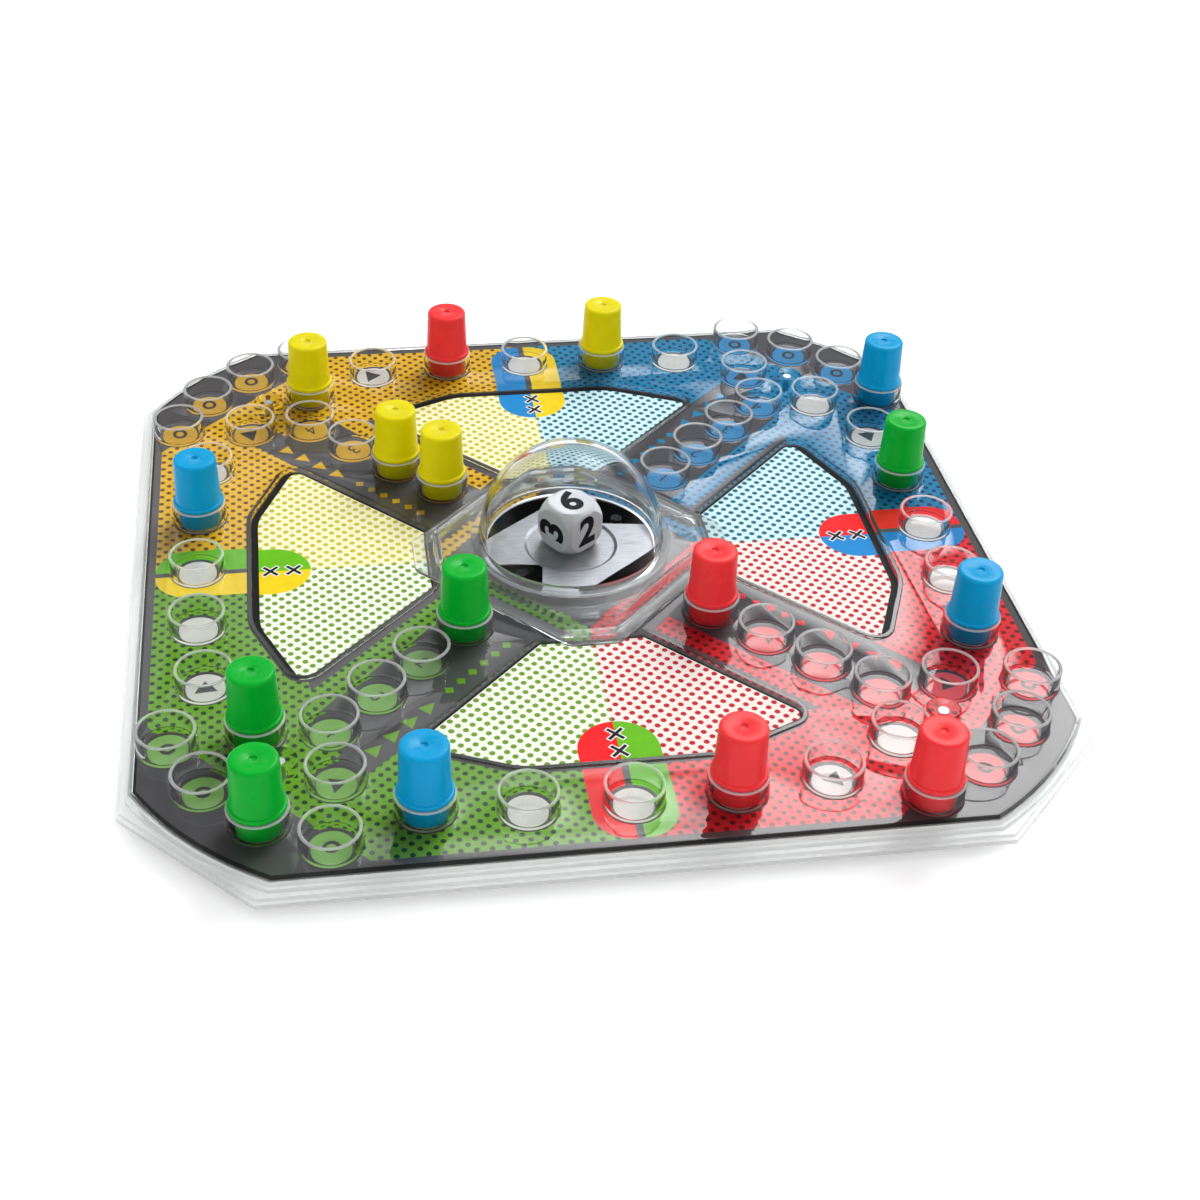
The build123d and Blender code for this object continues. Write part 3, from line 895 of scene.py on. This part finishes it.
class DICEGAME_OT_stage(bpy.types.Operator):
    """Make the floor, the lights and the camera at the photograph's angle"""

    bl_idname = "dicegame.stage"
    bl_label = "Stage"

    def execute(self, context):
        make_camera(context.scene)
        make_floor()
        make_lights(context.scene)
        return {"FINISHED"}


def make_camera(scene):
    """A camera fitted to the photograph, with the small shift and roll that its framing has."""
    data = bpy.data.cameras.new("camera")
    data.lens = 55.88
    data.sensor_width = 36.0
    data.shift_x = 0.02484
    data.shift_y = -0.03939
    data.clip_start = 0.01
    data.clip_end = 20.0
    place = Vector((-78.6, -464.8, 350.1)) * MM
    ahead = (Vector((0, 0, CARD_TOP)) * MM - place).normalized()
    right = ahead.cross(Vector((0, 0, 1))).normalized()
    up = right.cross(ahead)
    roll = 0.036
    tilted_right = right * cos(roll) + up * sin(roll)
    tilted_up = up * cos(roll) - right * sin(roll)
    rotation = Matrix((tilted_right, tilted_up, -ahead)).transposed().to_4x4()
    camera = new_object("camera", data)
    camera.matrix_world = Matrix.Translation(place) @ rotation
    scene.camera = camera


def make_floor():
    """A wide pale floor that shows as white and keeps the object's shadow."""
    mesh = bpy.data.meshes.new("floor")
    reach = 4.0
    corners = [(-reach, -reach, 0), (reach, -reach, 0), (reach, reach, 0), (-reach, reach, 0)]
    mesh.from_pydata(corners, [], [(0, 1, 2, 3)])
    floor = new_object("floor", mesh)
    floor.location.z = -0.0001
    material, tree, shader, output = shader_nodes("floor_white")
    grain = add_range(tree, add_noise(tree, place_socket(tree), 3.0, 2.0), 0.3, 0.7, 0.84, 0.87)
    tone = add_node(tree, "ShaderNodeCombineColor", {k: grain for k in range(3)})
    fill(tree, shader, {"Base Color": tone.outputs[0], "Roughness": 0.7, "Specular IOR Level": 0.1})
    rays = add_node(tree, "ShaderNodeLightPath").outputs
    seen = add_math(tree, "MAXIMUM", rays["Is Camera Ray"], rays["Is Glossy Ray"])
    seen = add_math(tree, "MAXIMUM", seen, rays["Is Transmission Ray"])
    glow = add_node(tree, "ShaderNodeEmission")
    fill(tree, glow, {"Strength": add_math(tree, "MULTIPLY", seen, 0.3)})
    total = add_node(tree, "ShaderNodeAddShader", {0: shader.outputs[0], 1: glow.outputs[0]})
    fill(tree, output, {"Surface": total.outputs[0]})
    coated(mesh, material)


def make_lights(scene):
    """Plain surroundings, white behind the game and dimmer in reflections, and one large soft light."""
    world = bpy.data.worlds.new("surroundings")
    world.use_nodes = True
    tree = world.node_tree
    rays = add_node(tree, "ShaderNodeLightPath").outputs
    _, _, rise = split(tree, add_node(tree, "ShaderNodeTexCoord").outputs["Generated"])
    ceiling = add_range(tree, rise, 0.05, 0.3, 1.0, settings().mirrored_light)
    seen = add_math(tree, "MAXIMUM", rays["Is Glossy Ray"], rays["Is Transmission Ray"])
    bare = add_math(tree, "MULTIPLY", add_math(tree, "SUBTRACT", 1.0, seen), settings().fill_light)
    lit = add_math(tree, "ADD", add_math(tree, "MULTIPLY", seen, ceiling), bare)
    fill(tree, tree.nodes["Background"], {
        "Color": (1, 1, 1, 1), "Strength": add_math(tree, "MAXIMUM", lit, rays["Is Camera Ray"])})
    scene.world = world
    make_soft_light()


def soft_light_mesh(radius, columns=50, rows=22):
    """A patch of a sphere round the back and the right, from 30 to 85 degrees up."""
    verts = []
    for row in range(rows + 1):
        height = radians(30 + 55 * row / rows)
        flat = radius * cos(height)
        for column in range(columns + 1):
            round_it = radians(-30 + 125 * column / columns)
            verts.append((flat * sin(round_it), flat * cos(round_it), radius * sin(height)))
    starts = [row * (columns + 1) + column for row in range(rows) for column in range(columns)]
    mesh = bpy.data.meshes.new("soft_light")
    mesh.from_pydata(verts, [], [(k, k + 1, k + columns + 2, k + columns + 1) for k in starts])
    return mesh


def make_soft_light():
    """A light bent round the back and the right, dim behind the game and bright on the right."""
    radius = 3.0
    mesh = soft_light_mesh(radius)
    light = new_object("soft_light", mesh)
    light.visible_camera = False
    material, tree, shader, output = shader_nodes("soft_light_glow")
    tree.nodes.remove(shader)
    x, y, z = split(tree, place_socket(tree))
    around = add_math(tree, "ARCTAN2", x, y)
    rise = add_math(tree, "ARCSINE", add_math(tree, "DIVIDE", z, radius))

    def ramp(angle, start, end, low, high):
        return add_range(tree, angle, radians(start), radians(end), low, high)

    dim = settings().back_light
    bright = settings().key_light
    sides = add_math(tree, "MINIMUM", ramp(around, 8, 24, dim, bright), ramp(around, 46, 62, bright, dim))
    foot = add_math(tree, "MULTIPLY", ramp(rise, 31, 36, 0.0, 1.0), ramp(rise, 56, 70, 1.0, 0.12))
    shade = add_math(tree, "MULTIPLY", ramp(rise, 38, 44, 0.0, 0.85), ramp(around, -6, 4, 1.0, 0.0))
    share = add_math(tree, "MULTIPLY", foot, add_math(tree, "SUBTRACT", 1.0, shade))
    backfacing = add_node(tree, "ShaderNodeNewGeometry").outputs["Backfacing"]
    facing = add_math(tree, "SUBTRACT", 1.0, backfacing)
    glow = add_node(tree, "ShaderNodeEmission")
    lit = add_math(tree, "MULTIPLY", add_math(tree, "MULTIPLY", share, facing), sides)
    fill(tree, glow, {"Strength": lit})
    fill(tree, output, {"Surface": glow.outputs[0]})
    coated(mesh, material)


class DICEGAME_OT_cover(bpy.types.Operator):
    """Make the clear cover with its cups as one moulding"""

    bl_idname = "dicegame.cover"
    bl_label = "Cover and cups"

    def execute(self, context):
        polish = settings().clear_roughness
        plate_tint = (0.97, 0.985, 0.98, 1)
        wall_tint = (0.95, 0.965, 0.965, 1)
        clear = clear_material("clear_moulding", plate_tint, polish)
        skirt = clear_material("milky_skirt_moulding", plate_tint, polish, settings().skirt_clearness)
        walls = clear_material("clear_cup_walls", wall_tint, polish, 1.0, 1.2, 1.0)
        rims = clear_material("milky_cup_rims", wall_tint, polish, settings().rim_clearness, 1.2, 1.0)
        sink = 0.03
        work = node_copy("top_cover", [(PLATE_TOP, sink)])
        outer_top = [
            edge for edge in work.edges
            if all(abs(v.co.z - (PLATE_TOP - sink) * MM) < 1e-6 for v in edge.verts)
            and all(on_outline(v.co, 1.5) for v in edge.verts)
        ]
        if not outer_top:
            raise RuntimeError("the cover's outer top edge wasn't found")
        bmesh.ops.bevel(work, geom=outer_top, offset=settings().edge_rounding, segments=4, profile=0.5,
                        affect="EDGES", clamp_overlap=True)
        plate = mesh_from_work("clear_cover", work)
        places = [place for row in ROWS.values() for quarter in range(4) for place in row(quarter)]
        rings = turned_pieces("cups", cups_profile(), places, clear)
        merged = boolean_mesh("clear_cover", plate, rings, "UNION", "MANIFOLD")
        if len(merged.polygons) < 10000:
            raise RuntimeError("the cups didn't join the cover")
        coated(merged, skirt, clear, walls, rims)
        tops = (CARD_TOP - 0.25, PLATE_TOP + 0.5, RIM_TOP - 0.5)
        for face in merged.polygons:
            face.material_index = sum(face.center.z / MM > top for top in tops)
        finish_mesh(merged, 35)
        add_piece("clear_cover", merged, "board",
                  ("top_cover", "track_cups", "home_cups", "finish_cups"))
        return {"FINISHED"}


def on_outline(place, grow):
    """True for a place on the card's outline grown outwards by grow."""
    x, y = sorted((abs(place.x) / MM, abs(place.y) / MM))
    if y > CARD_HALF + grow - 0.05:
        return True
    out = (x + y) / ROOT2
    return out > CARD_CORNER - CARD_BULGE + grow - 0.1


class DICEGAME_OT_tray(bpy.types.Operator):
    """Make the clear tray and give the screws their material"""

    bl_idname = "dicegame.tray"
    bl_label = "Tray and screws"

    def execute(self, context):
        work = node_copy("base_tray", [(BRIM_TOP, 0.03), (TRAY_TOP, 0.02)])
        milky = clear_material("clear_tray_moulding", (0.99, 0.995, 0.995, 1), 0.05, 0.5)
        mesh = coated(mesh_from_work("clear_tray", work), milky)
        finish_mesh(mesh, 35)
        add_piece("clear_tray", mesh, "board", ("base_tray",))
        paint("corner_screws", steel_material("zinc_plate", (0.62, 0.63, 0.65, 1), 0.28, 0, 1.0))
        return {"FINISHED"}


def layer_top(level):
    """The height of the top of a layer of the print."""
    return INK_TOP + LAYERS.index(level) * settings().layer_step / MM


def layer(name, loops, level, material):
    """A thin layer of ink."""
    mesh = prism_mesh(name, loops, INK_BOTTOM, layer_top(level))
    return add_piece(name, finish_mesh(coated(mesh, material)), "board")


def corner_loop(places, quarter):
    """A loop given as (out, along) from a corner's diagonal."""
    return [corner_place(out, along, quarter) for out, along in places]


class DICEGAME_OT_print(bpy.types.Operator):
    """Make the card's print: sectors, lanes, windows, lozenges and the marks under the cups, with lines of
    painted shade round the card's edge and at the foot of each cup's wall
    """

    bl_idname = "dicegame.print"
    bl_label = "Card and print"

    def execute(self, context):
        paint("printed_card", ink_material("card_stock", linear(150, 148, 144)))
        holes = [circle_loop((0, 0), HOLE_RADIUS, 128)]
        posts = [corner_place(POST_DISTANCE, 0, quarter) for quarter in range(4)]
        holes += [circle_loop(post, CORNER_HOLE_RADIUS, 32) for post in posts]
        layer("print_base", [card_loop(0)] + holes, "base", ink_material("ink_grey", BASE_GREY))
        # A black line of painted shade round the card's edge, standing in for the dark edge seen through the
        # cover's rim
        edge_shade = [card_loop(0), card_loop(-CARD_EDGE_SHADE)]
        layer("print_border", edge_shade, "panels", ink_material("ink_black", INK_BLACK))
        make_sectors()
        make_windows()
        make_lozenges()
        make_cup_marks()
        return {"FINISHED"}


def make_sectors():
    """The dotted coloured sectors, the band round the middle and the small marks in the lanes."""
    side = [(0, -SECTOR_REACH), (SECTOR_CORNER, -SECTOR_REACH), (SECTOR_REACH, -SECTOR_CORNER),
            (SECTOR_REACH, 0), (SECTOR_ROOT, 0)]
    bend = asin(sqrt(HOLE_RADIUS**2 - BAND_INNER**2) / HOLE_RADIUS)
    angles = [bend * (k / 6) for k in range(6, -7, -1)]
    band = [(BAND_INNER, -BAND_INNER), (BAND_OUTER, -BAND_OUTER)]
    band += [(out, -along) for out, along in reversed(band)]
    band += [(HOLE_RADIUS * cos(a), HOLE_RADIUS * sin(a)) for a in angles]
    shifts = [(out, LANE_ARROW) for out in LANE_ARROWS]
    shifts += [(DIAMOND_START + DIAMOND_PITCH * k, DIAMOND) for k in range(DIAMONDS)]
    lane = [[(shift + out, along) for out, along in mark] for shift, mark in shifts]
    for quarter, player in enumerate(PLAYERS):
        dotted = ink_material(f"ink_{player}_dots", *PRINT_COLOURS[player])
        plain = ink_material(f"ink_{player}", PRINT_COLOURS[player][0])
        sector = turned_loop(side, quarter) + corner_loop(SECTOR_INNER, quarter)
        layer(f"sector_{player}", [sector + [turned((0, -SECTOR_ROOT), quarter)]], "sectors", dotted)
        layer(f"band_{player}", [corner_loop(band, quarter)], "sectors", dotted)
        layer(f"lane_marks_{player}", [corner_loop(mark, quarter) for mark in lane], "sectors", plain)


def make_windows():
    """The pale dotted print in the windows, with a black outline and a grey border over its edges."""
    borders = []
    outlines = []
    for quarter in range(4):
        borders += [window_loop(WINDOW_BORDER, quarter), window_loop(0, quarter)]
        outlines += [window_loop(WINDOW_LINE_OUTSIDE, quarter),
                     window_loop(WINDOW_LINE_END, quarter, WINDOW_LINE_SIDE, WINDOW_LINE_SIDE)]
        make_halves("panel", window_loop(WINDOW_PRINT), quarter, "panels",
                    (PLAYERS[quarter - 1], PLAYERS[quarter]),
                    lambda player: ink_material(f"ink_pale_{player}_dots", *PANEL_COLOURS[player], pale=True))
    layer("window_outlines", outlines, "outlines", ink_material("ink_black", INK_BLACK))
    layer("window_borders", borders, "borders", ink_material("ink_ring_grey", RING_GREY))


def make_halves(name, loop, quarter, level, players, ink):
    """The left and right halves of a shape on the -Y axis, each in the ink of its player."""
    for side, where, player in zip((-1, 1), ("left", "right"), players):
        half = turned_loop(cut_at_axis(loop, side), quarter)
        layer(f"{name}_{PLAYERS[quarter]}_{where}", [half], level, ink(player))


def make_lozenges():
    """The two-coloured lozenge in the middle of each side, with two crosses."""
    width, near, far = (LOZENGE_HALF_WIDTH, LOZENGE_NEAR, LOZENGE_FAR)
    outer = LOZENGE_OUTER_RADIUS
    inner = width - 0.01
    loop = rounded([(width, -far), (width, -near), (-width, -near), (-width, -far)],
                   [outer, inner, inner, outer], 14)
    gap = [(-LOZENGE_GAP, -far), (LOZENGE_GAP, -far)]
    gap += [(LOZENGE_GAP, -LOZENGE_GAP_END), (-LOZENGE_GAP, -LOZENGE_GAP_END)]
    for quarter in range(4):
        make_halves("lozenge", loop, quarter, "lozenges", (PLAYERS[quarter], PLAYERS[quarter - 1]),
                    lambda player: ink_material(f"ink_bright_{player}", LOZENGE_COLOURS[player]))
    grey = ink_material("ink_grey", BASE_GREY)
    layer("lozenge_gaps", [turned_loop(gap, k) for k in range(4)], "gaps", grey)
    for name, ink, reach, half_stroke in (
            ("cross_outlines", ink_material("ink_white", PAPER_WHITE), 2.35, 0.85),
            ("crosses", ink_material("ink_black", INK_BLACK), 2.1, 0.5)):
        loops = [turned_loop(cross_loop(-middle, reach, half_stroke), k)
                 for k in range(4) for middle in CROSSES]
        layer(name, loops, name, ink)


def cross_loop(middle, reach, half_stroke):
    """A diagonal cross on the Y axis."""
    arm = reach * ROOT2
    upright = []
    for k in range(4):
        for x, y in ((half_stroke, -half_stroke), (half_stroke, -arm), (-half_stroke, -arm)):
            upright.append(turned((x, y), -k))
    spin = radians(45)
    return [(x * cos(spin) - y * sin(spin), x * sin(spin) + y * cos(spin) + middle) for x, y in upright]


def make_cup_marks():
    """The discs in the cups, pale round the track and coloured elsewhere, what is printed on them, and a dark
    grey ring of painted shade round each disc at the foot of its cup's wall.
    """
    rims = []
    whites = []
    arrows = []
    rings = []
    numbers = []
    for quarter, player in enumerate(PLAYERS):
        track = track_places(quarter)
        home = home_places(quarter)
        finish = finish_places(quarter)
        coloured = [track[COLOURED_DISC]] + home + finish
        whites += [circle_loop(place, DISC_RADIUS) for k, place in enumerate(track) if k != COLOURED_DISC]
        layer(f"discs_{player}", [circle_loop(place, DISC_RADIUS) for place in coloured], "discs",
              ink_material(f"ink_disc_{player}", DISC_COLOURS[player]))
        for place in track + home + finish:
            # Rings of painted shade between each disc and its cup's wall, where the wall's foot looks dark
            rims += [circle_loop(place, CUP_RADIUS - CUP_WALL), circle_loop(place, DISC_RADIUS)]
        for place in home:
            rings += [circle_loop(place, radius, 32) for radius in HOME_RING]
        arrows += [arrow_loop(track[k], track[k - 1]) for k in ARROW_DISCS]
        numbers += [number_mesh(str(k + 1), place, 45 + 90 * quarter) for k, place in enumerate(finish)]
    grey = ink_material("ink_marks_and_painted_shade", MARK_AND_SHADE_GREY)
    layer("disc_rims", rims, "disc_rims", grey)
    layer("discs_white", whites, "discs", ink_material("ink_disc_white", DISC_WHITE))
    layer("track_arrows", arrows, "marks", grey)
    layer("home_rings", rings, "marks", grey)
    mesh = coated(joined_mesh("finish_numbers", numbers), grey)
    add_piece("finish_numbers", finish_mesh(mesh), "board")


def arrow_loop(place, towards):
    """A small triangle on a disc that points at the next one."""
    ahead = (Vector(towards) - Vector(place)).normalized()
    aside = Vector((-ahead.y, ahead.x)) * ARROW_HALF_WIDTH
    base = Vector(place) - ahead * ARROW_BASE
    return [tuple(Vector(place) + ahead * ARROW_TIP), tuple(base + aside), tuple(base - aside)]


def number_curve(text, size, depth):
    """A numeral as a filled text curve about its own middle."""
    curve = bpy.data.curves.new("numeral", "FONT")
    curve.body = text
    curve.size = size * MM
    curve.align_x = "CENTER"
    curve.align_y = "CENTER"
    curve.extrude = depth / 2 * MM
    return curve


def number_mesh(text, place, turn):
    """A plain printed numeral that lies on a disc."""
    top = layer_top("marks")
    curve = number_curve(text, SMALL_NUMBER, top - CARD_TOP)
    spot = Matrix.Translation((place[0] * MM, place[1] * MM, (top + CARD_TOP) / 2 * MM))
    return solid_from_curve("numeral", curve, spot @ Matrix.Rotation(radians(turn), 4, "Z"))


class DICEGAME_OT_mechanism(bpy.types.Operator):
    """Make the dome and its housing, and give the plate and its cradle their materials"""

    bl_idname = "dicegame.mechanism"
    bl_label = "Dome, housing and plate"

    def execute(self, context):
        polish = settings().clear_roughness
        clear = clear_material("clear_dome_moulding", (0.84, 0.86, 0.88, 1), polish, 1.0, 1.18, 0.8)
        smoky = clear_material("clear_housing_moulding", (0.86, 0.88, 0.875, 1), polish, 0.95, 1.22, 0.6)
        dome = turned_pieces("clear_dome", dome_profile(), [(0, 0)], clear, 40)
        add_piece("clear_dome", dome, "dome", ("dome",))
        housing = finish_mesh(coated(loft_mesh("clear_housing", housing_rings()), smoky), 40)
        add_piece("clear_housing", housing, "board", ("dome_housing",))
        paint("snap_plate", steel_material("brushed_spring_steel", (0.42, 0.425, 0.44, 1), 0.34, -45, 14.0))
        paint("plate_cradle", moulded_material("black_moulding", linear(14, 14, 15), linear(60, 60, 62), 0.4))
        return {"FINISHED"}


def dome_profile():
    """Half a sphere on a short skirt with a flange, as (radius, height)."""
    inner = DOME_RADIUS - DOME_WALL
    flange, low, high = DOME_FLANGE
    r = 0.3
    steps = 36
    turns = [pi / 2 * k / steps for k in range(steps)]

    def shell(radius):
        return [(radius * cos(turn), DOME_CENTRE + radius * sin(turn)) for turn in turns]

    return [
        (inner, DOME_BOTTOM),
        (DOME_RADIUS, DOME_BOTTOM),
        (DOME_RADIUS, low),
        (flange - r, low),
        *corner_steps((flange - r, low + r), r, -90, 0, 3),
        *corner_steps((flange - r, high - r), r, 0, 90, 3),
        (DOME_RADIUS, high),
        *shell(DOME_RADIUS),
        (0.0, DOME_CENTRE + DOME_RADIUS),
        (0.0, DOME_CENTRE + inner),
        *reversed(shell(inner)),
    ]


def octagon_ring(short, long, corner, count=256):
    """A rounded octagon as equally many points by angle."""
    half_side = long * ROOT2 - short
    corners = [turned(place, k) for k in range(4) for place in ((-half_side, -short), (half_side, -short))]
    loop = rounded(corners, [corner] * 8, 12)
    angles = [atan2(y, x) for x, y in loop]
    out = []
    for k in range(count):
        angle = -pi + 2 * pi * (k + 0.5) / count
        for j, (x, y) in enumerate(loop):
            after = loop[(j + 1) % len(loop)]
            first = angles[j]
            sweep = (angles[(j + 1) % len(loop)] - first) % (2 * pi)
            turn = (angle - first) % (2 * pi)
            if sweep > 1e-9 and turn <= sweep:
                ray = (cos(angle), sin(angle))
                edge = (after[0] - x, after[1] - y)
                share = (x * edge[1] - y * edge[0]) / (ray[0] * edge[1] - ray[1] * edge[0])
                out.append((ray[0] * share, ray[1] * share))
                break
    if len(out) != count:
        raise RuntimeError("the octagon's ring is incomplete")
    return out


def round_ring(radius, count=256):
    """A circle with the same angles as octagon_ring."""
    angles = [-pi + 2 * pi * (k + 0.5) / count for k in range(count)]
    return [(radius * cos(a), radius * sin(a)) for a in angles]


def housing_rings():
    """Sections of the housing: over the flange, up the wall, over the roof, down the bore and back."""
    wall = 1.6
    edge = 0.9
    inset = 4.4 * tan(radians(4.0))
    bottom = PLATE_TOP
    flange_top = PLATE_TOP + 1.0

    def flat(ring, height):
        return [(x, y, height) for x, y in ring]

    def roof(ring, drop):
        slope = 0.18
        return [(x, y, COLLAR_TOP - drop - slope * (hypot(x, y) - COLLAR_RADIUS)) for x, y in ring]

    def octagon(sizes, shrink):
        return octagon_ring(*[size - shrink for size in sizes])

    rings = [
        flat(octagon(HOUSING_BODY, wall), bottom),
        flat(octagon(HOUSING_FLANGE, 0.4), bottom),
        flat(octagon(HOUSING_FLANGE, 0), bottom + 0.3),
        flat(octagon(HOUSING_FLANGE, 0), flange_top - 0.3),
        flat(octagon(HOUSING_FLANGE, 0.3), flange_top),
        flat(octagon(HOUSING_BODY, -0.6), flange_top),
        flat(octagon(HOUSING_BODY, -0.1), flange_top + 0.35),
    ]
    for k in range(5):
        turn = radians(90 * k / 4)
        rings.append(roof(octagon(HOUSING_BODY, inset + edge * (1 - cos(turn))), edge * (1 - sin(turn))))
    bore = [
        (COLLAR_RADIUS + 1.2, 0.2),
        (COLLAR_RADIUS, 0),
        (BORE_RADIUS + 0.4, 0),
        (BORE_RADIUS + 0.1, 0.1),
        (BORE_RADIUS, 0.4),
        (BORE_RADIUS, COLLAR_DEPTH),
        (COLLAR_RADIUS, COLLAR_DEPTH),
    ]
    rings += [flat(round_ring(radius), COLLAR_TOP - drop) for radius, drop in bore]
    rings += [
        roof(octagon(HOUSING_BODY, wall + inset + 0.3), wall),
        flat(octagon(HOUSING_BODY, wall + inset + 0.1), flange_top + 2.2),
        flat(octagon(HOUSING_BODY, wall), flange_top),
    ]
    return rings


class DICEGAME_OT_die(bpy.types.Operator):
    """Make the die with its printed numerals"""

    bl_idname = "dicegame.die"
    bl_label = "Die"

    def execute(self, context):
        white = moulded_material("die_white", linear(250, 250, 250), linear(253, 253, 253), 0.2, 0.06)
        work = bmesh.new()
        bmesh.ops.create_cube(work, size=DIE_SIDE * MM)
        bmesh.ops.bevel(work, geom=list(work.edges), offset=DIE_ROUNDING * MM, segments=8, profile=0.5,
                        affect="EDGES")
        block = mesh_from_work("die_block", work)
        work = bmesh.new()
        bmesh.ops.create_uvsphere(work, u_segments=96, v_segments=48, radius=DIE_BALL * MM)
        ball = mesh_from_work("die_ball", work)
        mesh = boolean_mesh("die_body", block, ball, "INTERSECT", "EXACT")
        middle = Vector((*DIE_PLACE, DIE_BOTTOM + DIE_SIDE / 2)) * MM
        spot = Matrix.Translation(middle) @ Matrix.Rotation(radians(DIE_TURN), 4, "Z")
        mesh.transform(spot)
        finish_mesh(coated(mesh, white), 25)
        add_piece("die_body", mesh, "die", ("die",))
        numerals = joined_mesh("die_numerals", [die_numeral(text, spot) for text in DIE_FACES])
        finish_mesh(coated(numerals, ink_material("die_ink", INK_BLACK)))
        add_piece("die_numerals", numerals, "die")
        return {"FINISHED"}


def die_numeral(text, spot):
    """A numeral printed on its face of the die, which stands at a spot."""
    out, turn = DIE_FACES[text]
    out = Vector(out)
    curve = number_curve(text, DIE_NUMBER, DIE_INK)
    curve.offset = 0.0005
    face = out.to_track_quat("Z", "Y").to_matrix().to_4x4()
    lift = Matrix.Translation(out * DIE_SIDE / 2 * MM)
    return solid_from_curve("numeral", curve, spot @ lift @ face @ Matrix.Rotation(radians(turn), 4, "Z"))


class DICEGAME_OT_pegs(bpy.types.Operator):
    """Make the sixteen pegs"""

    bl_idname = "dicegame.pegs"
    bl_label = "Pegs"

    def execute(self, context):
        for colour, seats in PEG_SEATS.items():
            tone = PEG_COLOURS[colour]
            ridge_colour = tuple(min(1.0, c * 0.6 + 0.35) for c in tone[:3]) + (1.0,)
            material = moulded_material(f"peg_{colour}", tone, ridge_colour, 0.24, 0.08)
            for number, (player, row, seat) in enumerate(seats, 1):
                place = ROWS[row](PLAYERS.index(player))[seat]
                node = f"peg_{colour}_{number}"
                mesh = turned_pieces(f"turned_{node}", peg_profile(), [place], material, 50)
                add_piece(f"turned_{node}", mesh, node, (node,))
        return {"FINISHED"}


def peg_profile():
    """A hollow peg with a bead that rests on its cup's rim, as (radius, height)."""
    stem = CUP_RADIUS - CUP_WALL - 0.35
    bell = 6.6
    bead = 7.8
    half_bead = 0.5
    wall = 1.3
    crown = 1.0
    seat = RIM_TOP + 0.05
    bottom = PLATE_TOP + 0.3
    top = RIM_TOP + 16.3
    bead_top = seat + 1.4
    return [
        (0.0, top - 1.8),
        (bell - wall, top - 1.8),
        (stem - wall, bottom + 0.2),
        (stem - 1.1, bottom),
        (stem - 0.3, bottom),
        (stem, bottom + 0.3),
        (stem, seat),
        *corner_steps((bead - half_bead, seat + half_bead), half_bead, -90, 0, 5),
        *corner_steps((bead - half_bead, bead_top - half_bead), half_bead, 0, 90, 5),
        (7.15, bead_top + 0.02),
        (7.08, bead_top + 0.25),
        *corner_steps((bell - crown, top - crown), crown, 2, 90, 7),
        (1.15, top),
        (1.0, top - 0.12),
        (0.92, top - 0.5),
        (0.7, top - 0.6),
        (0.0, top - 0.6),
    ]


class DICEGAME_PT_panel(bpy.types.Panel):
    """Steps that build the game's looks"""

    bl_label = "Dice game"
    bl_space_type = "VIEW_3D"
    bl_region_type = "UI"
    bl_category = "Dice game"

    def draw(self, context):
        column = self.layout.column()
        for name in DiceGameSettings.__annotations__:
            column.prop(context.scene.dice_game, name)
        for step in STEPS:
            column.operator(step.bl_idname)


STEPS = (
    DICEGAME_OT_stage,
    DICEGAME_OT_cover,
    DICEGAME_OT_tray,
    DICEGAME_OT_print,
    DICEGAME_OT_mechanism,
    DICEGAME_OT_die,
    DICEGAME_OT_pegs,
)
CLASSES = (DiceGameSettings, *STEPS, DICEGAME_PT_panel)


def register():
    """Register the settings, steps and panel."""
    for made in CLASSES:
        bpy.utils.register_class(made)
    bpy.types.Scene.dice_game = bpy.props.PointerProperty(type=DiceGameSettings)


def unregister():
    """Remove the settings, steps and panel."""
    del bpy.types.Scene.dice_game
    for made in reversed(CLASSES):
        bpy.utils.unregister_class(made)


def main():
    """Build everything."""
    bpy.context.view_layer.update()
    register()
    bpy.context.scene.view_settings.view_transform = "Standard"
    bpy.ops.dicegame.stage()
    bpy.ops.dicegame.cover()
    bpy.ops.dicegame.tray()
    bpy.ops.dicegame.print()
    bpy.ops.dicegame.mechanism()
    bpy.ops.dicegame.die()
    bpy.ops.dicegame.pegs()


if __name__ == "__main__":
    main()
